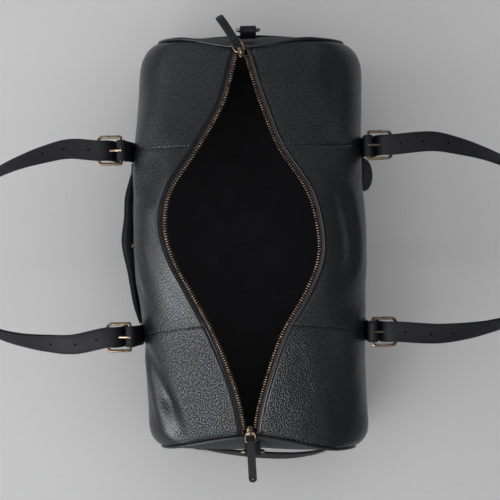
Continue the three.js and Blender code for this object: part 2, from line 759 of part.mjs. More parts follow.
function placeZipEnd({ name, end, y, turn, fall }) {
  const x = (column("zipRight", y) - column("zipLeft", y)) / 2;
  const z = column("zipZ", y);
  const rise = Math.atan2(column("zipZ", y + 5) - column("zipZ", y - 5), 10);
  const body = slider();
  body.rotateX(rise);
  body.translate(x, y, z);
  add(`zip_slider_${name}`, body, BRASS);
  const barY = y + end * 0.1;
  const barZ = z + SLIDER_TOP + GAP + PULL_WIRE / 2 + Math.abs(Math.tan(rise)) * 1.2;
  const toEnd = end < 0 ? Math.PI : 0;
  const swing = THREE.MathUtils.degToRad(turn);
  const ring = pullRing();
  ring.rotateZ(toEnd + swing);
  ring.translate(x, barY, barZ);
  add(`pull_ring_${name}`, ring, BRASS);
  const out = PULL_RING.length - PULL_WIRE;
  const strip = puller(fall);
  strip.rotateX(Math.PI / 2);
  strip.rotateZ(toEnd + Math.PI / 2 + swing);
  strip.translate(x - Math.sin(toEnd + swing) * out, barY + Math.cos(toEnd + swing) * out, barZ);
  add(`zip_puller_${name}`, strip, STRAPPING);
}

// Buckles and the straps that carry them

function place(geometry, { side, y, bar }) {
  if (side < 0) geometry.rotateZ(Math.PI);
  geometry.translate(side * bar, y, BAR_Z);
  return geometry;
}

function buckleFrame() {
  const outline = roundedBox(-BAR_HALF, -FRAME_HALF, FRAME_LENGTH, FRAME_HALF, 3, 7);
  const inner = FRAME_HALF - RAIL;
  outline.holes.push(roundedBox(BAR_HALF, -inner, FRAME_LENGTH - 3.2, inner, 0.8, 4));
  return plate(outline, FRAME_DEPTH, 0, 2);
}

// The tongue's outline in the plane of its swing, grown by a clearance
function tongue(grow) {
  const last = TONGUE.length - 1;
  const reach = (i) => TONGUE[i].out + (i === last ? grow : 0);
  const top = TONGUE.map((row, i) => new THREE.Vector2(reach(i), row.top + grow));
  const low = TONGUE.map((row, i) => new THREE.Vector2(reach(i), row.low - grow));
  return new THREE.Shape([...top, ...low.reverse()]);
}

function upright(geometry) {
  geometry.rotateX(Math.PI / 2);
  return geometry;
}

function prong() {
  const boss = new THREE.Shape().absarc(0, 0, PRONG_EYE, 0, 2 * Math.PI, false);
  const bore = new THREE.Shape().absarc(0, 0, EYE_IN, 0, 2 * Math.PI, false);
  const blade = toManifold(upright(plate(tongue(0), PRONG_WIDTH, 0)));
  const eye = toManifold(upright(plate(boss, PRONG_WIDTH, 0, 5)));
  return fromManifold(blade.add(eye).subtract(toManifold(upright(plate(bore, PRONG_WIDTH + 2, 0, 5)))));
}

function buckleStrap(buckle) {
  const { side, y, bar } = buckle;
  const reach = STRAP_WIDTH / 2;
  const points = STRAP_HEIGHTS.map((z) => {
    const widest = Math.max(...[-reach, 0, reach].map((dy) => wallAt(y + dy, side, z)));
    return [widest + STRAP_GAP + STRAP / 2 - bar, z - BAR_Z];
  });
  const fold = -(EYE_IN + EYE_OUT) / 2;
  points.push(...FOLD_STOPS.map((up) => [fold, up]));
  const strip = eyedStrip(points, STRAP, STRAP_WIDTH, [0, 0], EYE_IN, EYE_OUT);
  const slot = new THREE.BoxGeometry(3 * EYE_OUT, PRONG_WIDTH + SLOT_ROOM, 3 * EYE_OUT);
  const body = upright(fromManifold(strip));
  return place(fromManifold(toManifold(body).subtract(toManifold(slot))), buckle);
}

// Carry handles

function handleFrames(side) {
  const ends = BUCKLES.filter((buckle) => buckle.side === side);
  const far = ends.find((buckle) => buckle.end > 0);
  const near = ends.find((buckle) => buckle.end < 0);
  const tail = (buckle) => TAIL.map(({ out, up }) => ({
    point: new THREE.Vector3(side * (buckle.bar + out), buckle.y, BAR_Z + up),
    tilt: 0,
    fixed: new THREE.Vector3(0, buckle.end, 0),
  }));
  const stop = (out, y, z, tilt) => ({ point: new THREE.Vector3(side * out, y, z), tilt });
  const stops = [
    ...tail(far),
    ...ROUTE.map((row) => stop(row.out, row.far, row.z, row.tilt)),
    stop(APEX.out, APEX.y, APEX.z, APEX.tilt),
    ...ROUTE.map((row) => stop(row.out, row.near, row.z, row.tilt)).reverse(),
    ...tail(near).reverse(),
  ];
  stops.forEach((item, i) => {
    if (item.fixed) {
      item.across = item.fixed;
      return;
    }
    const along = stops[i + 1].point.clone().sub(stops[i - 1].point);
    const outwards = new THREE.Vector3(-along.y, along.x, 0).multiplyScalar(side).normalize();
    const tilt = THREE.MathUtils.degToRad(item.tilt);
    item.across = outwards.multiplyScalar(Math.cos(tilt)).add(new THREE.Vector3(0, 0, -Math.sin(tilt)));
  });
  const path = new THREE.CatmullRomCurve3(stops.map((item) => item.point), false, "centripetal");
  const frames = [];
  const spans = stops.length - 1;
  for (let i = 0; i <= 2 * spans; i += 1) {
    const k = Math.min(Math.floor(i / 2), spans - 1);
    const share = i / 2 - k;
    const onTail = stops[k].fixed && stops[k + 1].fixed;
    if (onTail && share === 0.5) continue;
    const point = path.getPoint(i / (2 * spans));
    const along = path.getTangent(i / (2 * spans));
    const across = stops[k].across.clone().lerp(stops[k + 1].across, share);
    across.addScaledVector(along, -across.dot(along)).normalize();
    const normal = across.clone().cross(along).multiplyScalar(-side).normalize();
    frames.push({ point, across, normal, along });
  }
  return frames;
}

function handle(side) {
  const frames = handleFrames(side);
  let body = toManifold(strap(frames, STRAP_WIDTH, HANDLE));
  for (const buckle of BUCKLES.filter((item) => item.side === side)) {
    for (let i = 0; i < HOLE_COUNT; i += 1) {
      const out = buckle.bar + HOLE_FIRST + i * HOLE_PITCH;
      const onStrap = frames.filter(({ point }) => point.y * buckle.end > ARM_Y && point.z > ARM_Z);
      onStrap.sort((a, b) => Math.abs(a.point.x * side - out) - Math.abs(b.point.x * side - out));
      const { point, normal, along } = onStrap[0];
      const drill = new THREE.CylinderGeometry(HOLE_R, HOLE_R, 4 * HANDLE, 7);
      drill.applyQuaternion(new THREE.Quaternion().setFromUnitVectors(new THREE.Vector3(0, 1, 0), normal));
      const shift = (out - point.x * side) / (along.x * side);
      const centre = point.clone().addScaledVector(along, shift);
      drill.translate(centre.x, centre.y, centre.z);
      body = body.subtract(toManifold(drill));
    }
    const slot = upright(plate(tongue(GAP), PRONG_WIDTH + 2 * GAP, 0));
    body = body.subtract(toManifold(place(slot, buckle)));
  }
  return fromManifold(body);
}

// End handles, ring tabs and rings

// How far an end strap stands free at a share of its reach: a hump that leans to one side
function freeAt(share, left, right) {
  const hump = (s) => (1 + s) ** left * (1 - s) ** right;
  return hump(share) / hump((left - right) / (left + right));
}

function endHandle({ end, x: middle, reach, bow, tilt: tilted, left, right }) {
  const tilt = THREE.MathUtils.degToRad(tilted);
  const frames = [];
  for (let i = 0; i <= END_HANDLE_STEPS; i += 1) {
    const share = (2 * i) / END_HANDLE_STEPS - 1;
    const x = middle + share * reach;
    const rest = Math.max(...[-1, 0, 1].map((k) => endFace(end, x, END_HANDLE_Z + (k * END_HANDLE_WIDTH) / 2)));
    const free = freeAt(share, left, right);
    const y = rest + GAP + 0.3 + HANDLE / 2 + bow * free;
    const across = new THREE.Vector3(0, -end * Math.sin(tilt * free), Math.cos(tilt * free));
    frames.push({ point: new THREE.Vector3(x, end * y, END_HANDLE_Z), across });
  }
  return strap(frames.map(({ point, across }, i) => {
    const after = frames[Math.min(i + 1, END_HANDLE_STEPS)].point;
    const before = frames[Math.max(i - 1, 0)].point;
    const along = after.clone().sub(before).normalize();
    return { point, across, normal: along.cross(across) };
  }), END_HANDLE_WIDTH, HANDLE);
}

// A ring's tab, its eye round the bar; drawn with Y as the reach and Z up, then set at the end
function ringTab({ end, x, reach, z, path }) {
  const points = path.map(([y, height]) => [y - reach, height - z]);
  const strip = fromManifold(eyedStrip(points, TAB, TAB_WIDTH, [0, 0], RING_EYE_IN, RING_EYE_OUT));
  strip.rotateX(Math.PI / 2);
  strip.rotateZ(end * Math.PI / 2);
  strip.translate(x, end * reach, z);
  return strip;
}

function dRing({ end, x, reach, z }) {
  const half = RING_INNER / 2;
  const wire = RING_WIRE;
  const ring = new THREE.Shape();
  const bow = (shape, width, low, high) => {
    shape.moveTo(-width, low);
    shape.lineTo(width, low);
    shape.lineTo(width, low + 3);
    shape.absellipse(0, low + 3, width, high - low - 3, 0, Math.PI, false, 0);
    shape.lineTo(-width, low);
    return shape;
  };
  bow(ring, half + wire, -wire / 2, RING_DROP + wire / 2);
  ring.holes.push(bow(new THREE.Path(), half, wire / 2, RING_DROP - wire / 2));
  const body = plate(ring, wire, 0.7, 6);
  body.rotateX(-Math.PI / 2);
  body.translate(x, end * reach, z);
  return body;
}

// Pocket, stud and side tab

function pocket() {
  const from = SEAM_NEAR + POCKET_SIDE;
  const to = SEAM_FAR - POCKET_SIDE;
  const grid = (depth) => {
    const rows = [];
    for (let i = 0; i <= POCKET_STEPS; i += 1) {
      const u = i / POCKET_STEPS;
      const y = THREE.MathUtils.lerp(from, to, u);
      const row = [];
      for (let j = 0; j <= POCKET_ROWS; j += 1) {
        const v = j / POCKET_ROWS;
        const z = THREE.MathUtils.lerp(POCKET_LOW, POCKET_TOP, v);
        const gape = POCKET_GAPE * Math.max(Math.sin(Math.PI * u), 0) ** POCKET_FULL * v ** 2;
        row.push(new THREE.Vector3(-(wallAt(y, -1, z) + POCKET_GAP + gape + depth), y, z));
      }
      rows.push(row);
    }
    return rows;
  };
  return sheet(grid(LEATHER - 0.2), grid(0));
}

function stud() {
  const outline = STUD_DOME.map(({ radius, height }) => new THREE.Vector2(radius, height));
  const dome = new THREE.LatheGeometry(outline, 12);
  dome.rotateZ(Math.PI / 2);
  dome.translate(-(wallAt(STUD_Y, -1, STUD_Z) + GAP + 0.2), STUD_Y, STUD_Z);
  return dome;
}

function sideTab() {
  const { length, width, thick, round, x, y, z, lean } = TAB_SIDE;
  const outline = roundedBox(-length / 2, -width / 2, length / 2, width / 2, 1.5, round);
  const tab = plate(outline, thick, 0.4, 2);
  tab.rotateZ(-Math.PI / 2);
  tab.rotateY(THREE.MathUtils.degToRad(lean));
  tab.translate(x, y, z);
  return tab;
}

// Assembly

add("base_panel", basePanel(), GRAINED);
for (const [side, name] of [[-1, "left"], [1, "right"]]) {
  for (const panel of PANELS) {
    add(`side_panel_${name}_${panel.name}`, sidePanel(side, panel), GRAINED);
  }
  const tapeDepth = LEATHER + TAPE_GAP;
  const tapeNear = endAt(-1, ZIP_X, DIP_HIGH) + TAPE;
  const tapeFar = endAt(1, ZIP_X, DIP_HIGH) - TAPE;
  add(`zip_tape_${name}`, zipBand(side, tapeNear, tapeFar, TAPE_EDGE, TAPE_UNDER, tapeDepth, tapeDepth + TAPE), WEBBING);
  add(`zip_teeth_${name}`, zipBand(side, TEETH_NEAR, TEETH_FAR, -TEETH_OVER, TEETH_BACK, TEETH_TOP, TEETH_DEEP), BRASS);
  add(`handle_${name}`, handle(side), STRAPPING);
}
add("lining", lining(), CLOTH);
for (const [end, name] of [[-1, "near"], [1, "far"]]) {
  add(`end_panel_${name}`, endPanel(end), GRAINED);
  add(`piping_${name}`, piping(end), STRAPPING);
}
for (const strapping of END_STRAPS) add(`end_handle_${strapping.name}`, endHandle(strapping), STRAPPING);
for (const ring of RINGS) {
  add(`ring_tab_${ring.name}`, ringTab(ring), STRAPPING);
  add(`d_ring_${ring.name}`, dRing(ring), BRASS);
}
for (const zipEnd of SLIDERS) placeZipEnd(zipEnd);
for (const buckle of BUCKLES) {
  add(`buckle_strap_${buckle.name}`, buckleStrap(buckle), STRAPPING);
  add(`buckle_frame_${buckle.name}`, place(buckleFrame(), buckle), BRASS);
  add(`buckle_prong_${buckle.name}`, place(prong(), buckle), BRASS);
}
add("pocket_panel", pocket(), GRAINED);
add("pocket_stud", stud(), BRASS);
add("side_tab", sideTab(), STRAPPING);

export default bag;
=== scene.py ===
"""A leather gym bag standing open at its zip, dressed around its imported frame.

Sizes in this file are millimetres and meshes are metres. The bag lies along Y: -Y is its near end and
-X its left side. The origin is the centre of the base, on the floor.
"""

import logging
import math
from dataclasses import dataclass, field
from enum import Enum
from typing import Callable, Optional, Sequence, Union

import bpy
import numpy as np
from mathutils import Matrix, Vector


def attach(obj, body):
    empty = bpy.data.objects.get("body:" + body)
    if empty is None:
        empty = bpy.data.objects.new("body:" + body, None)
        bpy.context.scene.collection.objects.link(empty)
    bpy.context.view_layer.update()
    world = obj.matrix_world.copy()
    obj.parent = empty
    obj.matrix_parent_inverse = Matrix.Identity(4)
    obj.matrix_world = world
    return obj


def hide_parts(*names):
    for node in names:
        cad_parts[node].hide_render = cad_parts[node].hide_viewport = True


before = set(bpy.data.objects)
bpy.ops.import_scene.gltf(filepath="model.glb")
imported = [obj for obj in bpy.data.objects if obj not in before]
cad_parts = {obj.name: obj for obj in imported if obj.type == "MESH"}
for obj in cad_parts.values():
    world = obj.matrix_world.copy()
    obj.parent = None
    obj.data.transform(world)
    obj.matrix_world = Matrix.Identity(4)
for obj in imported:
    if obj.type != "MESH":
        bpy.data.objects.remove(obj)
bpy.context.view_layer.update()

LOG = logging.getLogger("gym_bag")
MM = 0.001
ACROSS, ALONG, UP = np.eye(3)
Points = np.ndarray
Object = bpy.types.Object
Tree = bpy.types.NodeTree
Socket = bpy.types.NodeSocket
Colour = tuple[float, float, float, float]
Span = tuple[float, float]
Stops = Sequence[Sequence[float]]


class Side(Enum):
    """The bag's two long sides, with the sign of X there."""

    LEFT = -1
    RIGHT = 1

    @property
    def word(self) -> str:
        """The side's name in piece names."""
        return self.name.lower()


class End(Enum):
    """The bag's two ends, with the sign of Y there."""

    NEAR = -1
    FAR = 1

    @property
    def word(self) -> str:
        """The end's name in piece names."""
        return self.name.lower()


class Slot(Enum):
    """The record's material slots."""

    GRAINED = "grained_leather"
    STRAP = "strap_leather"
    CLOTH = "lining_cloth"
    TAPE = "zip_tape"
    BRASS = "antique_brass"


# Mesh tools


def pick(obj: Object) -> None:
    """Makes obj the only selected object and the active one."""
    bpy.ops.object.select_all(action="DESELECT")
    obj.select_set(True)
    bpy.context.view_layer.objects.active = obj


def add(operator: Callable[..., object], **settings: object) -> Object:
    """Adds a primitive, with nothing else selected."""
    bpy.ops.object.select_all(action="DESELECT")
    operator(**settings)
    return bpy.context.object


def settle(obj: Object) -> Object:
    """Moves an object's place, turn and scale into its mesh."""
    pick(obj)
    bpy.ops.object.transform_apply(location=True, rotation=True, scale=True)
    return obj


def change(obj: Object, kind: str, **settings: object) -> None:
    """Adds a modifier and applies it.

    Args:
        obj: the mesh object.
        kind: Blender's modifier type.
        settings: values for the modifier's own properties.
    """
    pick(obj)
    modifier = obj.modifiers.new(kind.lower(), kind)
    for key, value in settings.items():
        setattr(modifier, key, value)
    bpy.ops.object.modifier_apply(modifier=modifier.name)


def weld(obj: Object, fill: bool = False) -> None:
    """Merges doubled vertices, fills holes if asked, and turns all faces outwards.

    Args:
        obj: the mesh object.
        fill: whether open ends are capped.
    """
    pick(obj)
    bpy.ops.object.mode_set(mode="EDIT")
    bpy.ops.mesh.select_all(action="SELECT")
    bpy.ops.mesh.remove_doubles(threshold=0.01 * MM)
    if fill:
        bpy.ops.mesh.fill_holes(sides=0)
        bpy.ops.mesh.select_all(action="SELECT")
    bpy.ops.mesh.normals_make_consistent(inside=False)
    bpy.ops.object.mode_set(mode="OBJECT")


def smooth(obj: Object, angle: float = 40.0) -> Object:
    """Shades obj smooth where its faces meet at less than an angle."""
    pick(obj)
    bpy.ops.object.shade_smooth_by_angle(angle=math.radians(angle))
    return obj


def surface(name: str, rows: Points, wrap: bool = False, close: bool = False) -> Object:
    """Adds a grid and moves its vertices to rows of points.

    Args:
        name: the object's name.
        rows: points in millimetres, by row and column.
        wrap: whether each row joins its own start.
        close: whether the last row joins the first.

    Returns:
        The new object, with its place in its mesh.
    """
    points = np.asarray(rows, float)
    if wrap:
        points = np.concatenate([points, points[:, :1]], axis=1)
    if close:
        points = np.concatenate([points, points[:1]], axis=0)
    down, across = points.shape[:2]
    obj = add(bpy.ops.mesh.primitive_grid_add, x_subdivisions=across - 1, y_subdivisions=down - 1, size=1)
    obj.name = name
    obj.data.name = name
    obj.data.vertices.foreach_set("co", (points * MM).ravel())
    obj.data.update()
    return obj


def face_towards(obj: Object, outwards: Points) -> None:
    """Flips an open surface whose faces point away from a direction.

    Args:
        obj: the mesh object.
        outwards: one direction for each vertex, by row and column.
    """
    count = len(obj.data.vertices)
    normals = np.zeros(count * 3, np.float32)
    obj.data.vertex_normals.foreach_get("vector", normals)
    if (normals.reshape(-1, 3) * outwards.reshape(-1, 3)).sum() < 0:
        pick(obj)
        bpy.ops.object.mode_set(mode="EDIT")
        bpy.ops.mesh.select_all(action="SELECT")
        bpy.ops.mesh.flip_normals()
        bpy.ops.object.mode_set(mode="OBJECT")


def mark(obj: Object, strength: Points, hide: Points) -> None:
    """Writes each vertex's grain and its place on the flat hide, for the leather's shader.

    Args:
        obj: the mesh object.
        strength: how strong the grain is, one value or one for each vertex.
        hide: places on the flat hide in metres, two columns.
    """
    count = len(obj.data.vertices)
    grain = obj.data.attributes.new("grain", "FLOAT", "POINT")
    grain.data.foreach_set("value", np.broadcast_to(np.ravel(strength), count).astype(np.float32))
    flat = obj.data.attributes.new("hide", "FLOAT_VECTOR", "POINT")
    flat.data.foreach_set("vector", np.column_stack([hide, np.zeros(count)]).astype(np.float32).ravel())


def spots(obj: Object, axes: Sequence[int]) -> Points:
    """The vertices' places along some axes, in metres.

    Args:
        obj: the mesh object.
        axes: the axes' numbers.

    Returns:
        A row for each vertex.
    """
    flat = np.zeros(3 * len(obj.data.vertices), np.float32)
    obj.data.vertices.foreach_get("co", flat)
    return flat.reshape(-1, 3)[:, list(axes)]


def thicken(obj: Object, thick: float, offset: float, edge: float) -> Object:
    """Gives an open surface a wall with rounded edges.

    Args:
        obj: the open surface.
        thick: wall in millimetres.
        offset: -1 to grow inwards, 0 about the middle.
        edge: radius of the rounded edges in millimetres.

    Returns:
        The same object.
    """
    change(obj, "SOLIDIFY", thickness=thick * MM, offset=offset, use_even_offset=True)
    change(obj, "BEVEL", width=edge * MM, segments=3, limit_method="ANGLE", angle_limit=math.radians(55))
    return smooth(obj)


def strap(name: str, path: Points, across: Points, width: Union[float, Points], thick: float,
          edge: float = 0.8, columns: int = 8) -> Object:
    """Makes a flat strap along a path.

    Args:
        name: the object's name.
        path: points of its middle line.
        across: the way across it, one direction or one for each point.
        width: one width or one for each point.
        thick: its thickness.
        edge: radius of its edges.
        columns: faces across it.

    Returns:
        The new object.
    """
    ways = np.broadcast_to(across, path.shape)
    widths = np.broadcast_to(width, len(path))
    shares = np.linspace(-0.5, 0.5, columns + 1)
    rows = path[:, None] + ways[:, None] * (shares[None, :] * widths[:, None])[..., None]
    obj = thicken(surface(name, rows), thick, 0.0, edge)
    weld(obj)
    return smooth(obj)


def tube(name: str, path: Points, plane: Points, radius: Union[float, Points], flat: float = 1.0,
         sides: int = 12, closed: bool = False) -> Object:
    """Makes a round bar along a path that lies near one plane.

    Args:
        name: the object's name.
        path: points of its middle line.
        plane: the plane's normal.
        radius: one radius or one for each point.
        flat: height over width of the section.
        sides: points round the section.
        closed: whether the path joins its own start.

    Returns:
        The new object.
    """
    if closed:
        along = np.roll(path, -1, axis=0) - np.roll(path, 1, axis=0)
    else:
        along = np.gradient(path, axis=0)
    across = unit(np.cross(along, plane))
    radii = np.broadcast_to(radius, len(path))[:, None, None]
    turns = np.linspace(0, 2 * math.pi, sides, endpoint=False)
    ring = across[:, None] * np.cos(turns)[None, :, None] + plane * flat * np.sin(turns)[None, :, None]
    obj = surface(name, path[:, None] + ring * radii, wrap=True, close=closed)
    weld(obj, fill=not closed)
    return smooth(obj)


def unite(name: str, pieces: Sequence[Object]) -> Object:
    """Joins objects into one of a given name.

    Args:
        name: the joined object's name.
        pieces: what is joined; the first stays.

    Returns:
        The joined object.
    """
    pick(pieces[0])
    for piece in pieces[1:]:
        piece.select_set(True)
    if len(pieces) > 1:
        bpy.ops.object.join()
    pieces[0].name = name
    pieces[0].data.name = name
    return pieces[0]


def cut(obj: Object, tools: Sequence[Object]) -> Object:
    """Cuts tools out of obj and deletes them.

    Args:
        obj: the piece that is cut.
        tools: closed cutters.

    Returns:
        The cut piece.
    """
    tool = unite("cutter", tools)
    change(obj, "BOOLEAN", operation="DIFFERENCE", object=tool, solver="EXACT")
    bpy.data.objects.remove(tool)
    return smooth(obj)


def drill(place: Points, axis: Points, radius: float, depth: float) -> Object:
    """Adds a round cutter.

    Args:
        place: its middle.
        axis: its direction.
        radius: its radius.
        depth: its whole length.

    Returns:
        The cutter, with its place in its mesh.
    """
    turn = Vector(axis).to_track_quat("Z", "Y").to_euler()
    tool = add(bpy.ops.mesh.primitive_cylinder_add, vertices=16, radius=radius * MM, depth=depth * MM,
               location=Vector(place * MM), rotation=turn)
    return settle(tool)


def copies(name: str, template: Object, places: Points, axes: Points) -> Object:
    """Copies a small template many times into one mesh, and deletes the template.

    Args:
        name: the new object's name.
        template: the shape, modelled at the origin in metres.
        places: where the copies go, in millimetres.
        axes: the three axes of each copy, as rows.

    Returns:
        The joined copies.
    """
    corners = np.array([vertex.co for vertex in template.data.vertices])
    faces = [list(polygon.vertices) for polygon in template.data.polygons]
    count = len(corners)
    points = (np.einsum("vk,nkc->nvc", corners, axes) + places[:, None] * MM).reshape(-1, 3)
    lists = [[corner + i * count for corner in face] for i in range(len(places)) for face in faces]
    mesh = bpy.data.meshes.new(name)
    mesh.from_pydata(points.tolist(), [], lists)
    mesh.update()
    bpy.data.objects.remove(template)
    obj = bpy.data.objects.new(name, mesh)
    bpy.context.scene.collection.objects.link(obj)
    return smooth(obj, 60)


# Lines and outlines


def unit(vectors: Points) -> Points:
    """Scales vectors to length one."""
    return vectors / np.maximum(np.linalg.norm(vectors, axis=-1, keepdims=True), 1e-9)


def stack(*columns: Points) -> Points:
    """Coordinates as one array, each stretched to the others' shape."""
    return np.stack(np.broadcast_arrays(*columns), axis=-1)


def left_of(line: Points) -> Points:
    """Directions to the left of a plane line, one for each point."""
    tangents = unit(np.gradient(line, axis=0))
    return stack(-tangents[:, 1], tangents[:, 0])


def smoothstep(value: Points, low: float, high: float) -> Points:
    """Rises from 0 at low to 1 at high, level at both."""
    t = np.clip((value - low) / (high - low), 0, 1)
    return t * t * (3 - 2 * t)


def hump(value: Points, middle: float, reach: float) -> Points:
    """A bell of height one about a middle."""
    return np.exp(-(((value - middle) / reach) ** 2))


def square_to(ways: Points, tangents: Points) -> Points:
    """Ways turned square to the tangents, at length one."""
    return unit(ways - tangents * (ways * tangents).sum(axis=1, keepdims=True))


def stretches(*parts: tuple[float, float, int]) -> Points:
    """Even values over parts that follow each other."""
    values = [np.linspace(first, last, count)[:-1] for first, last, count in parts]
    return np.concatenate([*values, [parts[-1][1]]])


def spread(path: Points, pitch: float) -> tuple[Points, Points]:
    """Spaces points evenly along a path.

    Args:
        path: points of the path.
        pitch: distance between the new points.

    Returns:
        The new points' run along the path, and the run of the old points.
    """
    run = np.concatenate([[0], np.cumsum(np.linalg.norm(np.diff(path, axis=0), axis=1))])
    count = max(int(run[-1] / pitch), 2)
    return np.linspace(0, run[-1], count), run


def along_path(values: Points, run: Points, at: Points) -> Points:
    """Values on a path at new runs, column by column."""
    return np.stack([np.interp(at, run, column) for column in values.T], axis=-1)


def even(path: Points, pitch: float) -> Points:
    """The path again, with points at an even pitch."""
    at, run = spread(path, pitch)
    return along_path(path, run, at)


def centripetal(stops: Points, steps: int) -> Points:
    """A smooth curve through stops, with the same number of steps in each span.

    Args:
        stops: points that the curve passes.
        steps: points in each span.

    Returns:
        Points of the curve, its first and last stops included.
    """
    padded = np.concatenate([[2 * stops[0] - stops[1]], stops, [2 * stops[-1] - stops[-2]]])
    shares = np.linspace(0, 1, steps, endpoint=False)
    line = []
    for i in range(len(stops) - 1):
        p0, p1, p2, p3 = padded[i:i + 4]
        d0, d1, d2 = (np.linalg.norm(b - a) ** 0.5 for a, b in ((p0, p1), (p1, p2), (p2, p3)))
        leave = ((p1 - p0) / d0 - (p2 - p0) / (d0 + d1) + (p2 - p1) / d1) * d1
        arrive = ((p2 - p1) / d1 - (p3 - p1) / (d1 + d2) + (p3 - p2) / d2) * d1
        for t in shares:
            line.append(p1 * (2 * t ** 3 - 3 * t ** 2 + 1) + leave * (t ** 3 - 2 * t ** 2 + t)
                        + p2 * (3 * t ** 2 - 2 * t ** 3) + arrive * (t ** 3 - t ** 2))
    line.append(stops[-1])
    return np.array(line)


def arc(centre: Sequence[float], radius: float, start: float, stop: float, steps: int) -> Points:
    """Points of a plane arc, by angles in degrees."""
    turns = np.radians(np.linspace(start, stop, steps))
    return stack(centre[0] + radius * np.cos(turns), centre[1] + radius * np.sin(turns))


def rounded(low: Sequence[float], high: Sequence[float], near: float, far: float, steps: int = 7) -> Points:
    """The outline of a rectangle with round corners, near ones at its low x and far ones at its high x.

    Args:
        low: lowest corner.
        high: highest corner.
        near: corner radius at low x.
        far: corner radius at high x.
        steps: points in each corner.

    Returns:
        Plane points, once round.
    """
    (x0, y0), (x1, y1) = low, high
    return np.concatenate([
        arc((x1 - far, y0 + far), far, -90, 0, steps),
        arc((x1 - far, y1 - far), far, 0, 90, steps),
        arc((x0 + near, y1 - near), near, 90, 180, steps),
        arc((x0 + near, y0 + near), near, 180, 270, steps),
    ])


def round_end(path: Points, width: float, radius: float) -> Points:
    """Widths of a strap that ends in round corners.

    Args:
        path: points of the strap's middle line, the round end last.
        width: its full width.
        radius: its corner radius, at most half the width.

    Returns:
        One width for each point.
    """
    left = np.linalg.norm(np.diff(path, axis=0), axis=1)[::-1].cumsum()[::-1]
    left = np.concatenate([left, [0.0]])
    short = np.clip(1 - left / radius, 0, 1)
    return width - 2 * radius * (1 - np.sqrt(np.maximum(1 - short ** 2, 0.002)))


def round_ends(path: Points, width: float, radius: float) -> Points:
    """Widths of a strap that has round corners at both its ends."""
    return np.minimum(round_end(path, width, radius), round_end(path[::-1], width, radius)[::-1])


# The bag's form


@dataclass(frozen=True)
class Station:
    """One section of the bag: half widths, shoulder height and the zip line."""

    y: float
    left: float
    right: float
    shoulder: float
    zip_left: float
    zip_right: float
    zip_z: float


@dataclass(frozen=True)
class Dent:
    """A soft dent: its side and middle, its depth, and its reach along and across."""

    side: Side
    y: float
    below: float
    depth: float
    along: float
    across: float


STATIONS = (
    Station(-222, 125.0, 131.0, 158, 10.5, -4.5, 223),
    Station(-190, 124.5, 128.5, 164, 15.0, 0.2, 231),
    Station(-155, 125.0, 127.0, 173, 23.0, 9.5, 240),
    Station(-101, 126.5, 126.0, 190, 43.0, 29.0, 251),
    Station(-50, 131.5, 127.0, 201, 68.5, 58.0, 259),
    Station(-15, 134.0, 128.0, 205, 86.5, 71.0, 262),
    Station(20, 134.5, 128.0, 206, 94.5, 70.5, 262),
    Station(60, 134.0, 126.0, 202, 88.0, 59.5, 260),
    Station(109, 132.5, 126.0, 191, 56.5, 29.5, 252),
    Station(155, 129.5, 128.0, 175, 30.0, 12.5, 241),
    Station(182, 127.5, 129.5, 167, 21.0, 4.2, 234),
    Station(222, 126.0, 130.0, 160, 11.0, -6.5, 225),
)
DENTS = (
    Dent(Side.LEFT, 76, 44, 5.0, 26, 26),
    Dent(Side.LEFT, -140, 92, 4.5, 46, 20),
    Dent(Side.LEFT, -15, 18, 2.0, 46, 16),
    Dent(Side.RIGHT, 15, 38, 4.0, 52, 15),
    Dent(Side.RIGHT, 150, 80, 3.0, 34, 26),
    Dent(Side.RIGHT, -72, 70, 3.0, 24, 24),
)


@dataclass(frozen=True)
class Fold:
    """A soft valley in the leather between two places: how deep, how wide, and the swell beside it."""

    side: Side
    start: tuple[float, float]
    stop: tuple[float, float]
    depth: float
    width: float
    swell: float


FOLDS = (
    Fold(Side.LEFT, (-122, 108), (-176, 88), 2.6, 9, 1.2),
    Fold(Side.LEFT, (-176, 88), (-222, 76), 2.8, 10, 1.4),
    Fold(Side.LEFT, (104, 70), (62, 30), 3.6, 12, 1.2),
    Fold(Side.LEFT, (40, 66), (-44, 74), 1.2, 7, 0.6),
    Fold(Side.RIGHT, (50, 40), (-20, 44), 1.4, 8, 0.7),
    Fold(Side.RIGHT, (-112, 66), (-186, 104), 1.6, 12, 0.9),
    Fold(Side.RIGHT, (196, 100), (128, 74), 1.4, 12, 0.8),
)
COLUMN_NAMES = ("left", "right", "shoulder", "zip_left", "zip_right", "zip_z")


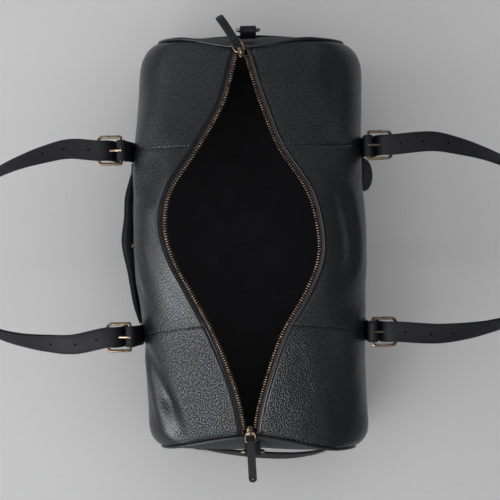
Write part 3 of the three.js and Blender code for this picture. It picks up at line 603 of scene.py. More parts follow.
@dataclass
class BagForm:
    """The bag's outer surface, read at any place along it and round its section.

    In its methods y is a place along the bag, side one of its long sides, below a distance under the
    zip line along the section, and q a count of columns from the zip to the base seam. All but side
    may be arrays, and the results have their shape.
    """

    end: float = 231.5
    base_seam: float = 82.0
    belly: float = 3.0
    belly_z: float = 62.0
    base_turn: float = 26.0
    base_rise: float = 14.0
    wall_ease: float = 45.0
    corner_near: float = 36.0
    corner_far: float = 44.0
    corner_power: float = 2.6
    corner_open: float = 4.0
    dip_near: float = 17.0
    dip_far: float = 11.0
    dip_reach_near: float = 110.0
    dip_reach_far: float = 80.0
    dip_flat: float = 3.0
    dip_low: float = 70.0
    dip_high: float = 150.0
    lean_near: float = 2.0
    lean_far: float = -2.0
    lean_reach: float = 100.0
    zip_x: float = -7.5
    seam_near: float = -101.0
    seam_far: float = 109.0
    seam_pull: float = 12.0
    leather: float = 2.2
    leather_edge: float = 5.2
    top_columns: int = 6
    wall_columns: int = 2
    base_columns: int = 4
    curve_steps: int = 48
    probe: float = 0.4

    @property
    def columns(self) -> int:
        """How far the column count runs, from the zip to the base seam."""
        return self.top_columns + self.wall_columns + self.base_columns

    def counts(self, top: int, wall: int, base: int, start: float = 0.0) -> Points:
        """Column counts down to the base seam.

        Args:
            top: number of points over the top.
            wall: number down the wall.
            base: number under the base's turn.
            start: the count of the first point.

        Returns:
            The counts.
        """
        under = self.top_columns
        low = under + self.wall_columns
        return stretches((start, under, top), (under, low, wall), (low, self.columns, base))

    def column(self, name: str, y: Points) -> Points:
        """A column of the station table, by a cubic through its rows.

        Args:
            name: the column's name.
            y: places along the bag.

        Returns:
            The column's values there.
        """
        ys = np.array([station.y for station in STATIONS])
        values = np.array([getattr(station, name) for station in STATIONS])
        at = np.clip(y, ys[0], ys[-1])
        i = np.clip(np.searchsorted(ys, at) - 1, 0, len(ys) - 2)
        before = np.maximum(np.arange(len(ys)) - 1, 0)
        after = np.minimum(np.arange(len(ys)) + 1, len(ys) - 1)
        slopes = (values[after] - values[before]) / (ys[after] - ys[before])
        step = ys[i + 1] - ys[i]
        t = (at - ys[i]) / step
        rise = t * t * (3 - 2 * t)
        leave = t * (1 - t) ** 2 * step * slopes[i]
        arrive = t * t * (t - 1) * step * slopes[i + 1]
        return values[i] * (1 - rise) + values[i + 1] * rise + leave + arrive

    def lean(self, y: Points, x: Points) -> Points:
        """How much further an end reaches at x, because it leans."""
        return np.where(np.asarray(y) < 0, self.lean_near, self.lean_far) * x / self.lean_reach

    def corner_inset(self, y: Points, side: Side) -> Points:
        """How far the round corner in plan draws the wall in."""
        reach = np.where(y < 0, self.corner_near, self.corner_far)
        end = self.end + self.lean(y, side.value * self.lean_reach)
        left = np.maximum(end + self.corner_open - np.abs(y), 0)
        t = np.clip(1 - left / reach, 0, 1)
        return reach * (1 - (1 - t ** self.corner_power) ** (1 / self.corner_power))

    def section(self, y: Points, side: Side) -> tuple[Points, Points, Points]:
        """The outlines of sections, from the base seam up to the zip line.

        Args:
            y: places along the bag.
            side: which side.

        Returns:
            Half widths, heights and runs along each outline, a row for each place.
        """
        inset = self.corner_inset(y, side)[:, None]
        table = {name: self.column(name, y)[:, None] for name in COLUMN_NAMES}
        wall = table[side.word] - inset
        zip_line = table["zip_" + side.word]
        shoulder = table["shoulder"]
        seam = self.base_seam - inset
        belly = wall + self.belly
        t = np.linspace(0, 1, self.curve_steps + 1)[None, :]

        def bezier(a: Points, b: Points, c: Points, d: Points, at: Points) -> Points:
            """One coordinate of a cubic Bezier curve."""
            return a * (1 - at) ** 3 + 3 * b * at * (1 - at) ** 2 + 3 * c * at ** 2 * (1 - at) + d * at ** 3

        later = t[:, 1:]
        level = np.zeros_like(wall)
        turn = later * math.pi / 2
        x = np.concatenate([
            bezier(seam, seam + self.base_turn, belly, belly, t),
            bezier(belly, belly, wall, wall, later),
            zip_line + (wall - zip_line) * np.cos(turn),
        ], axis=1)
        z = np.concatenate([
            bezier(level, level, level + self.base_rise, level + self.belly_z, t),
            bezier(level + self.belly_z, level + self.belly_z + self.wall_ease, shoulder - self.wall_ease,
                   shoulder, later),
            shoulder + (table["zip_z"] - shoulder) * np.sin(turn),
        ], axis=1)
        steps = np.hypot(np.diff(x, axis=1), np.diff(z, axis=1))
        run = np.concatenate([level, np.cumsum(steps, axis=1)], axis=1)
        return x, z, run

    def dent(self, y: Points, side: Side, below: Points) -> Points:
        """How far the leather is dented in."""
        depth = np.zeros_like(y)
        for row in DENTS:
            if row.side is side:
                depth = depth + row.depth * hump(y, row.y, row.along) * hump(below, row.below, row.across)
        return depth

    def skin(self, y: Points, side: Side, below: Points) -> Points:
        """Points of the outer surface."""
        places, depths = np.broadcast_arrays(np.asarray(y, float), np.asarray(below, float))
        shape = places.shape
        places, depths = places.ravel(), depths.ravel()
        x, z, run = self.section(places, side)
        at = np.clip(run[:, -1] - depths, 0, run[:, -1])
        k = np.clip((run <= at[:, None]).sum(axis=1) - 1, 0, run.shape[1] - 2)
        row = np.arange(len(places))
        span = np.maximum(run[row, k + 1] - run[row, k], 1e-9)
        share = (at - run[row, k]) / span
        dx = x[row, k + 1] - x[row, k]
        dz = z[row, k + 1] - z[row, k]
        dent = self.dent(places, side, depths)
        wide = x[row, k] + dx * share + np.minimum(depths, 0) - dz / span * dent
        high = z[row, k] + dz * share + dx / span * dent
        return stack(side.value * wide, places, high).reshape(*shape, 3)

    def outwards(self, y: Points, side: Side, below: Points) -> Points:
        """Outward directions of the surface."""
        step = self.probe
        reach = np.minimum(below + step, self.length(y, side))
        along = self.skin(y + step, side, below) - self.skin(y - step, side, below)
        down = self.skin(y, side, reach) - self.skin(y, side, reach - 2 * step)
        return unit(np.cross(along, down)) * -side.value

    def lifted(self, y: Points, side: Side, below: Points, lift: Points) -> Points:
        """Points above the surface by a lift, or under it where the lift is negative."""
        places, depths, lifts = np.broadcast_arrays(*(np.asarray(v, float) for v in (y, below, lift)))
        return self.skin(places, side, depths) + self.outwards(places, side, depths) * lifts[..., None]

    def length(self, y: Points, side: Side) -> Points:
        """Length of the section's outline, from the zip line to the base seam."""
        places = np.asarray(y, float)
        return self.section(places.ravel(), side)[2][:, -1].reshape(places.shape)

    def wall_at(self, y: Points, side: Side, height: Points) -> Points:
        """Half widths of the wall at some heights."""
        places, heights = np.broadcast_arrays(np.asarray(y, float), np.asarray(height, float))
        x, z, _ = self.section(places.ravel(), side)
        level = heights.ravel()
        k = np.clip((z <= level[:, None]).sum(axis=1) - 1, 0, z.shape[1] - 2)
        row = np.arange(len(level))
        share = (level - z[row, k]) / np.maximum(z[row, k + 1] - z[row, k], 1e-9)
        return (x[row, k] + (x[row, k + 1] - x[row, k]) * share).reshape(places.shape)

    def end_at(self, end: End, x: Points, z: Points) -> Points:
        """Where the body stops at an end: drawn in at the top, beside the zip."""
        near = end is End.NEAR
        dip = self.dip_near if near else self.dip_far
        reach = self.dip_reach_near if near else self.dip_reach_far
        t = smoothstep(np.abs(x - self.zip_x), self.dip_flat, reach)
        high = smoothstep(np.asarray(z, float), self.dip_low, self.dip_high)
        return end.value * (self.end + self.lean(end.value, x) - dip * (1 - t) * high)

    def column_below(self, y: Points, side: Side, q: Points, edge: float) -> Points:
        """Distance below the zip line of a column, counted as the source counts its columns.

        Args:
            y: places along the bag.
            side: which side.
            q: column counts, whole or not.
            edge: distance of the first column.

        Returns:
            Distances below the zip line.
        """
        places, counts = np.broadcast_arrays(np.asarray(y, float), np.asarray(q, float))
        run = self.section(places.ravel(), side)[2]
        base = run[:, self.curve_steps].reshape(places.shape)
        wall = run[:, 2 * self.curve_steps].reshape(places.shape)
        total = run[:, -1].reshape(places.shape)
        top_share = np.clip(counts / self.top_columns, 0, 1)
        wall_share = np.clip((counts - self.top_columns) / self.wall_columns, 0, 1)
        base_share = np.clip((counts - self.top_columns - self.wall_columns) / self.base_columns, 0, 1)
        return edge + (total - wall - edge) * top_share + (wall - base) * wall_share + base * base_share

    def panel_stop(self, y: float, side: Side, q: Points) -> Points:
        """Where a panel's edge lies in each column: at a seam, or at the end of the body."""
        if abs(y) < self.end:
            pull = self.seam_pull * np.maximum(1 - q / self.top_columns, 0) if y < 0 else 0.0
            return y + pull + np.zeros_like(q)
        edge = self.skin(y, side, self.column_below(np.full_like(q, y), side, q, self.leather_edge))
        return self.end_at(End.NEAR if y < 0 else End.FAR, edge[..., 0], edge[..., 2])

    def end_loop(self, end: End, counts: Points, inset: Callable[[Points], Points]) -> Points:
        """The outline of an end, once round, drawn in by an inset.

        Args:
            end: which end.
            counts: column counts from the zip to the base seam.
            inset: the inset at a height.

        Returns:
            Points of the outline.
        """
        halves = []
        for side in Side:
            y = self.panel_stop(end.value * self.end, side, counts)
            half = self.skin(y, side, self.column_below(y, side, counts, self.leather_edge))
            halves.append(half if side is Side.LEFT else half[::-1])
        line = np.concatenate(halves)
        along = np.roll(line, -1, axis=0) - np.roll(line, 1, axis=0)
        along = unit(along[:, [0, 2]])
        depth = inset(line[:, 2])
        line[:, 0] -= along[:, 1] * depth
        line[:, 2] += along[:, 0] * depth
        return line


FORM = BagForm()


# Finishes


def put(tree: Tree, kind: str, values: Optional[dict] = None, **settings: object) -> bpy.types.Node:
    """Adds a shader node.

    Args:
        tree: the node tree.
        kind: the node's type.
        values: for each input, by name or number, a value or the socket that feeds it.
        settings: the node's own properties.

    Returns:
        The node.
    """
    made = tree.nodes.new(kind)
    for key, value in settings.items():
        setattr(made, key, value)
    for key, value in (values or {}).items():
        if isinstance(value, bpy.types.NodeSocket):
            tree.links.new(value, made.inputs[key])
        else:
            made.inputs[key].default_value = value
    return made


def sum_of(tree: Tree, kind: str, a: object, b: object) -> Socket:
    """The result of a Math node of a kind on two values or sockets."""
    return put(tree, "ShaderNodeMath", {0: a, 1: b}, operation=kind).outputs[0]


def ramp(tree: Tree, value: Socket, low: float, high: float, start: float = 0.0,
         stop: float = 1.0) -> Socket:
    """A smooth step of a socket's value between two values."""
    values = {"Value": value, "From Min": low, "From Max": high, "To Min": start, "To Max": stop}
    return put(tree, "ShaderNodeMapRange", values, interpolation_type="SMOOTHSTEP").outputs["Result"]


def blend(tree: Tree, factor: Socket, first: object, second: object) -> Socket:
    """A mix of two colours by a factor."""
    node = put(tree, "ShaderNodeMix", {0: factor, 6: first, 7: second}, data_type="RGBA")
    return node.outputs[2]


def noise(tree: Tree, vector: Socket, scale: Union[float, Socket], detail: float = 2.0) -> bpy.types.Node:
    """A noise texture at a scale."""
    return put(tree, "ShaderNodeTexNoise", {"Vector": vector, "Scale": scale, "Detail": detail})


def new_group(name: str, inputs: dict[str, str], outputs: Sequence[str]) -> tuple[Tree, object, object]:
    """Starts a shader node group.

    Args:
        name: the group's name.
        inputs: the inputs' names and kinds of socket.
        outputs: the names of its value outputs.

    Returns:
        The group, and the sockets for what it is given and for its results.
    """
    tree = bpy.data.node_groups.new(name, "ShaderNodeTree")
    for key, kind in inputs.items():
        tree.interface.new_socket(name=key, in_out="INPUT", socket_type=kind)
    for key in outputs:
        tree.interface.new_socket(name=key, in_out="OUTPUT", socket_type="NodeSocketFloat")
    start = tree.nodes.new("NodeGroupInput")
    stop = tree.nodes.new("NodeGroupOutput")
    return tree, start.outputs, stop.inputs


def pebble_group(flat: bool = False) -> Tree:
    """The grain of leather: rounded pebbles parted by creases, with fine pores.

    Args:
        flat: whether the vector is a place on a flat hide.

    Returns:
        A group with the outputs Height and Crease.
    """
    name = "pebbled_hide" if flat else "pebbled_grain"
    if name in bpy.data.node_groups:
        return bpy.data.node_groups[name]
    kinds = {"Vector": "NodeSocketVector", "Scale": "NodeSocketFloat"}
    tree, given, result = new_group(name, kinds, ("Height", "Crease"))
    wander = noise(tree, given["Vector"], 140.0)
    centred = put(tree, "ShaderNodeVectorMath", {0: wander.outputs["Color"], 1: (0.5, 0.5, 0.5)},
                  operation="SUBTRACT")
    drawn = put(tree, "ShaderNodeVectorMath", {0: centred.outputs[0], "Scale": 0.0010}, operation="SCALE")
    moved = put(tree, "ShaderNodeVectorMath", {0: given["Vector"], 1: drawn.outputs[0]})
    cells = put(tree, "ShaderNodeTexVoronoi",
                {"Vector": moved.outputs[0], "Scale": given["Scale"], "Randomness": 0.7},
                feature="F1", voronoi_dimensions="2D" if flat else "3D")
    away = sum_of(tree, "POWER", cells.outputs["Distance"], 2.0)
    values = {"Value": away, "From Min": 0.0, "From Max": 0.30, "To Min": 1.0, "To Max": 0.0}
    dome = put(tree, "ShaderNodeMapRange", values).outputs["Result"]
    pores = noise(tree, given["Vector"], 900.0, 1.0)
    fine = sum_of(tree, "MULTIPLY", pores.outputs["Fac"], 0.15)
    tree.links.new(sum_of(tree, "ADD", dome, fine), result["Height"])
    tree.links.new(ramp(tree, dome, 0.5, 0.0), result["Crease"])
    return tree


def weave_group() -> Tree:
    """A plain weave: two crossing sets of round threads.

    Returns:
        A group with the outputs Height and Gap.
    """
    name = "plain_weave"
    if name in bpy.data.node_groups:
        return bpy.data.node_groups[name]
    kinds = {"Vector": "NodeSocketVector", "Across": "NodeSocketFloat", "Along": "NodeSocketFloat"}
    tree, given, result = new_group(name, kinds, ("Height", "Gap"))
    apart = put(tree, "ShaderNodeSeparateXYZ", {0: given["Vector"]})
    warp = sum_of(tree, "SINE", sum_of(tree, "MULTIPLY", apart.outputs["X"], given["Across"]), 0.0)
    weft = sum_of(tree, "SINE", sum_of(tree, "MULTIPLY", apart.outputs["Y"], given["Along"]), 0.0)
    crossed = sum_of(tree, "MULTIPLY", warp, weft)
    level = ramp(tree, crossed, -1.0, 1.0)
    tree.links.new(level, result["Height"])
    tree.links.new(ramp(tree, level, 0.45, 0.0), result["Gap"])
    return tree


def patina_group() -> Tree:
    """Uneven ageing: broad clouds and fine specks.

    Returns:
        A group with the outputs Age and Scratch.
    """
    name = "patina"
    if name in bpy.data.node_groups:
        return bpy.data.node_groups[name]
    kinds = {"Vector": "NodeSocketVector", "Scale": "NodeSocketFloat"}
    tree, given, result = new_group(name, kinds, ("Age", "Scratch"))
    clouds = noise(tree, given["Vector"], given["Scale"], 5.0)
    tree.links.new(ramp(tree, clouds.outputs["Fac"], 0.38, 0.68), result["Age"])
    long = put(tree, "ShaderNodeMapping", {"Vector": given["Vector"], "Scale": (1.0, 6.0, 2.0)})
    lines = noise(tree, long.outputs[0], 900.0, 3.0)
    tree.links.new(lines.outputs["Fac"], result["Scratch"])
    return tree


def fill_group(tree: Tree, group: Tree, values: dict) -> bpy.types.Node:
    """Places a node group in a material and fills its inputs."""
    return put(tree, "ShaderNodeGroup", values, node_tree=group)


def emboss(tree: Tree, shader: bpy.types.Node, height: Socket, depth: float) -> None:
    """Raises a material's surface.

    Args:
        tree: the material's node tree.
        shader: its shader.
        height: how high each place is, from 0 to 1.
        depth: what a height of 1 stands for, in metres.
    """
    bump = put(tree, "ShaderNodeBump", {"Height": height, "Distance": depth, "Strength": 1.0})
    tree.links.new(bump.outputs[0], shader.inputs["Normal"])


@dataclass(frozen=True)
class Finish:
    """A finish, made once as a material of its own name."""

    name: str
    slot: Optional[Slot]

    def material(self) -> bpy.types.Material:
        """The finish's material, made when first asked for."""
        found = bpy.data.materials.get(self.name)
        if found:
            return found
        made = bpy.data.materials.new(self.name)
        made.use_nodes = True
        self.paint(made.node_tree, made.node_tree.nodes["Principled BSDF"])
        return made

    def paint(self, tree: Tree, shader: bpy.types.Node) -> None:
        """Builds the material's nodes, each finish in its own way.

        Args:
            tree: the material's node tree.
            shader: its shader.
        """
        raise NotImplementedError


@dataclass(frozen=True)
class GrainedLeather(Finish):
    """Soft pebbled leather, its grain as strong as the mesh says, with painted shade darkening its creases.
    """

    deep: Colour = (0.0054, 0.0062, 0.0074, 1.0)
    light: Colour = (0.0100, 0.0114, 0.0134, 1.0)
    # painted shade: the near-black colour mixed into the grain's creases
    black: Colour = (0.0025, 0.0028, 0.0034, 1.0)
    tint: Colour = (0.93, 0.97, 1.0, 1.0)
    per_metre: float = 480.0
    depth: float = 0.34
    polish: float = 0.15
    calm: float = 0.28
    matt: float = 0.62
    crease_dark: float = 0.8
    lie: Sequence[float] = (0.0, 0.0, 0.5)
    draw: Sequence[float] = (1.0, 0.8, 1.0)

    def paint(self, tree: Tree, shader: bpy.types.Node) -> None:
        """Builds the nodes: grain laid along the hide, glossy on its pebbles, matt in its creases and
        darkened there with painted shade.
        """
        place = put(tree, "ShaderNodeTexCoord").outputs["Object"]
        hide = put(tree, "ShaderNodeAttribute", attribute_name="hide").outputs["Vector"]
        values = {"Vector": hide, "Rotation": self.lie, "Scale": self.draw}
        lie = put(tree, "ShaderNodeMapping", values).outputs[0]
        grain = fill_group(tree, pebble_group(flat=True), {"Vector": lie, "Scale": self.per_metre})
        strength = put(tree, "ShaderNodeAttribute", attribute_name="grain").outputs["Fac"]
        broad = noise(tree, place, 14.0, 3.0)
        tone = blend(tree, broad.outputs["Fac"], self.deep, self.light)
        crease = sum_of(tree, "MULTIPLY", grain.outputs["Crease"], strength)
        # Painted shade: the base colour is darkened towards near-black in the grain's creases, as far as the
        # grain is strong.
        shade = blend(tree, sum_of(tree, "MULTIPLY", crease, self.crease_dark), tone, self.black)
        tree.links.new(shade, shader.inputs["Base Color"])
        top = ramp(tree, strength, 0.2, 0.8, self.calm, self.polish)
        values = {"Value": crease, "From Min": 0.0, "From Max": 1.0, "To Min": top, "To Max": self.matt}
        rough = put(tree, "ShaderNodeMapRange", values).outputs["Result"]
        tree.links.new(rough, shader.inputs["Roughness"])
        height = sum_of(tree, "MULTIPLY", grain.outputs["Height"], strength)
        emboss(tree, shader, height, self.depth * MM)
        shader.inputs["Specular Tint"].default_value = self.tint


@dataclass(frozen=True)
class StrapLeather(Finish):
    """Smooth strap leather, with a line creased beside each edge where it is a strap."""

    deep: Colour = (0.0065, 0.0070, 0.0085, 1.0)
    light: Colour = (0.0140, 0.0145, 0.0170, 1.0)
    per_metre: float = 900.0
    depth: float = 0.10
    rough: float = 0.54
    shine: float = 0.20
    uneven: float = 0.14
    creased: bool = True
    crease_at: float = 0.405
    crease_wide: float = 0.022
    crease_deep: float = 0.35
    dyed_from: float = 0.455
    dyed_to: float = 0.495
    dyed_share: float = 0.7
    dye: Colour = (0.004, 0.004, 0.0045, 1.0)

    def paint(self, tree: Tree, shader: bpy.types.Node) -> None:
        """Builds the nodes: fine grain, and on a strap its creased lines and dyed edges."""
        coordinates = put(tree, "ShaderNodeTexCoord")
        place = coordinates.outputs["Object"]
        grain = fill_group(tree, pebble_group(), {"Vector": place, "Scale": self.per_metre})
        broad = noise(tree, place, 30.0, 4.0)
        tone = blend(tree, broad.outputs["Fac"], self.deep, self.light)
        height = sum_of(tree, "MULTIPLY", grain.outputs["Height"], self.depth)
        if self.creased:
            apart = put(tree, "ShaderNodeSeparateXYZ", {0: coordinates.outputs["UV"]})
            out = sum_of(tree, "ABSOLUTE", sum_of(tree, "SUBTRACT", apart.outputs["X"], 0.5), 0.0)
            near = sum_of(tree, "ABSOLUTE", sum_of(tree, "SUBTRACT", out, self.crease_at), 0.0)
            line = ramp(tree, near, self.crease_wide, 0.0)
            height = sum_of(tree, "SUBTRACT", height, sum_of(tree, "MULTIPLY", line, self.crease_deep))
            edge = ramp(tree, out, self.dyed_from, self.dyed_to)
            tone = blend(tree, sum_of(tree, "MULTIPLY", edge, self.dyed_share), tone, self.dye)
        tree.links.new(tone, shader.inputs["Base Color"])
        rough = ramp(tree, broad.outputs["Fac"], 0.25, 0.75, self.rough, self.rough + self.uneven)
        tree.links.new(rough, shader.inputs["Roughness"])
        shader.inputs["Specular IOR Level"].default_value = self.shine
        emboss(tree, shader, height, MM)


@dataclass(frozen=True)
class WovenCloth(Finish):
    """Plain woven cloth on the piece's own map."""

    deep: Colour = (0.0022, 0.0022, 0.0026, 1.0)
    light: Colour = (0.0055, 0.0055, 0.0064, 1.0)
    shine: float = 0.15
    across: float = 900.0
    along: float = 900.0
    depth: float = 0.12
    # gap: share of the painted shade between the threads
    gap: float = 0.6
    rough: float = 0.85
    uneven: float = 0.1
    # painted shade: the near-black colour put between the threads
    dark: Colour = (0.001, 0.001, 0.0012, 1.0)

    def paint(self, tree: Tree, shader: bpy.types.Node) -> None:
        """Builds the nodes: a weave darkened with painted shade between its threads."""
        coordinates = put(tree, "ShaderNodeTexCoord")
        values = {"Vector": coordinates.outputs["UV"], "Across": self.across, "Along": self.along}
        weave = fill_group(tree, weave_group(), values)
        broad = noise(tree, coordinates.outputs["Object"], 40.0, 3.0)
        tone = blend(tree, broad.outputs["Fac"], self.deep, self.light)
        # Painted shade: the colour darkens towards near-black in the gaps between the threads, by the share
        # gap.
        shade = blend(tree, sum_of(tree, "MULTIPLY", weave.outputs["Gap"], self.gap), tone, self.dark)
        tree.links.new(shade, shader.inputs["Base Color"])
        rough = ramp(tree, weave.outputs["Height"], 0.0, 1.0, self.rough + self.uneven, self.rough)
        tree.links.new(rough, shader.inputs["Roughness"])
        shader.inputs["Specular IOR Level"].default_value = self.shine
        emboss(tree, shader, weave.outputs["Height"], self.depth * MM)


@dataclass(frozen=True)
class AgedBrass(Finish):
    """Antique brass: warm where handled, brown where it has aged."""

    bright: Colour = (0.36, 0.275, 0.20, 1.0)
    brown: Colour = (0.13, 0.084, 0.058, 1.0)
    clouds: float = 160.0
    rough: float = 0.24
    uneven: float = 0.2
    scratch: float = 0.03

    def paint(self, tree: Tree, shader: bpy.types.Node) -> None:
        """Builds the nodes: clouds of age over finely scratched metal."""
        place = put(tree, "ShaderNodeTexCoord").outputs["Object"]
        patina = fill_group(tree, patina_group(), {"Vector": place, "Scale": self.clouds})
        tone = blend(tree, patina.outputs["Age"], self.bright, self.brown)
        tree.links.new(tone, shader.inputs["Base Color"])
        rough = ramp(tree, patina.outputs["Age"], 0.0, 1.0, self.rough, self.rough + self.uneven)
        tree.links.new(rough, shader.inputs["Roughness"])
        emboss(tree, shader, patina.outputs["Scratch"], self.scratch * MM)
        shader.inputs["Metallic"].default_value = 1.0


@dataclass(frozen=True)
class WaxedThread(Finish):
    """Waxed sewing thread."""

    deep: Colour = (0.006, 0.006, 0.007, 1.0)
    light: Colour = (0.022, 0.022, 0.025, 1.0)
    clouds: float = 220.0
    rough: float = 0.5
    uneven: float = 0.2

    def paint(self, tree: Tree, shader: bpy.types.Node) -> None:
        """Builds the nodes: a thread that is waxed unevenly."""
        place = put(tree, "ShaderNodeTexCoord").outputs["Object"]
        patina = fill_group(tree, patina_group(), {"Vector": place, "Scale": self.clouds})
        tone = blend(tree, patina.outputs["Age"], self.deep, self.light)
        tree.links.new(tone, shader.inputs["Base Color"])
        rough = ramp(tree, patina.outputs["Scratch"], 0.3, 0.7, self.rough, self.rough + self.uneven)
        tree.links.new(rough, shader.inputs["Roughness"])


@dataclass(frozen=True)
class PaleFloor(Finish):
    """A plain pale floor with the faintest mottle."""

    deep: Colour = (0.535, 0.535, 0.540, 1.0)
    light: Colour = (0.555, 0.555, 0.559, 1.0)
    rough: float = 0.9
    shine: float = 0.2

    def paint(self, tree: Tree, shader: bpy.types.Node) -> None:
        """Builds the nodes: one broad mottle."""
        place = put(tree, "ShaderNodeTexCoord").outputs["Object"]
        broad = noise(tree, place, 3.0, 2.0)
        tone = blend(tree, broad.outputs["Fac"], self.deep, self.light)
        tree.links.new(tone, shader.inputs["Base Color"])
        shader.inputs["Roughness"].default_value = self.rough
        shader.inputs["Specular IOR Level"].default_value = self.shine


GRAINED = GrainedLeather("pebbled_leather", Slot.GRAINED)
END_LEATHER = GrainedLeather("end_leather", Slot.GRAINED, polish=0.66, calm=0.66, matt=0.9)
STRAPPING = StrapLeather("bridle_leather", Slot.STRAP)
TRIMMING = StrapLeather("trim_leather", Slot.STRAP, creased=False)
PIPING = StrapLeather("piping_leather", Slot.STRAP, rough=0.32, shine=0.45, creased=False)
LINING_CLOTH = WovenCloth("lining_weave", Slot.CLOTH, deep=(0.018, 0.018, 0.0205, 1.0),
                          light=(0.029, 0.029, 0.0325, 1.0), across=9600.0, along=6400.0, depth=0.0,
                          gap=0.05)
FLESH = WovenCloth("leather_back", Slot.GRAINED, deep=(0.070, 0.078, 0.084, 1.0),
                   light=(0.100, 0.110, 0.116, 1.0), across=300.0, along=300.0, depth=0.05, gap=0.1)
ZIP_CLOTH = WovenCloth("tape_weave", Slot.TAPE, deep=(0.080, 0.067, 0.066, 1.0),
                       light=(0.120, 0.102, 0.100, 1.0), shine=0.3, across=62.0, along=2700.0, depth=0.15)
BRASS = AgedBrass("aged_brass", Slot.BRASS)
TEETH_BRASS = AgedBrass("teeth_brass", Slot.BRASS, bright=(0.22, 0.16, 0.118, 1.0),
                        brown=(0.075, 0.047, 0.033, 1.0))
THREAD = WaxedThread("waxed_thread", Slot.STRAP)
FLOOR = PaleFloor("pale_floor", None)
STITCH_RISE = 0.35


# Sub-assemblies


@dataclass
class SubAssembly:
    """Something that the bag is put together from.

    In the methods of each, y, side and below are what they are in the bag's form, end is one of the
    bag's ends, x and z are a place there, and spot is where a fitting sits.
    """

    body: str = "bag"

    def keep(self, obj: Object, finish: Finish, nodes: Sequence[str] = (),
             body: Optional[str] = None) -> Object:
        """Dresses a finished piece and sets it on its body.

        Args:
            obj: the piece.
            finish: its finish.
            nodes: the frame's nodes that it stands for.
            body: the body it rides on, if not the sub-assembly's.

        Returns:
            The piece.
        """
        obj.data.materials.clear()
        obj.data.materials.append(finish.material())
        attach(obj, body or self.body)
        if nodes:
            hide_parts(*nodes)
        LOG.info("%s: %d faces", obj.name, len(obj.data.polygons))
        return obj

    def sew(self, name: str, path: Points, normals: Points, pitch: float = 3.4, length: float = 2.5,
            thread: float = 0.36) -> Object:
        """Sews a row of stitches along a path.

        Args:
            name: the piece's name.
            path: the line sewn, on the surface.
            normals: the surface's direction along it, one or one for each point.
            pitch: distance from stitch to stitch.
            length: length of a stitch.
            thread: radius of the thread.

        Returns:
            The stitches, as one piece.
        """
        at, run = spread(path, pitch)
        places = along_path(path, run, at)
        tangents = unit(np.gradient(places, axis=0))
        ways = square_to(along_path(np.broadcast_to(normals, path.shape), run, at), tangents)
        one = add(bpy.ops.mesh.primitive_uv_sphere_add, segments=6, ring_count=5, radius=1.0,
                  rotation=(0, math.pi / 2, 0))
        one.scale = (thread * MM, thread * MM, 0.5 * length * MM)
        axes = np.stack([tangents, np.cross(ways, tangents), ways], axis=1)
        return self.keep(copies(name, settle(one), places + ways * thread * STITCH_RISE, axes), THREAD)


@dataclass(frozen=True)
class Panel:
    """A side panel's name, its stretch along the bag and its rows of points."""

    name: str
    start: float
    stop: float
    rows: int


@dataclass(frozen=True)
class Ripple:
    """One set of waves in slack leather: its share, and the lengths of its two crossing waves."""

    share: float
    along: float
    slant: float
    across: float
    skew: float
    lag: float


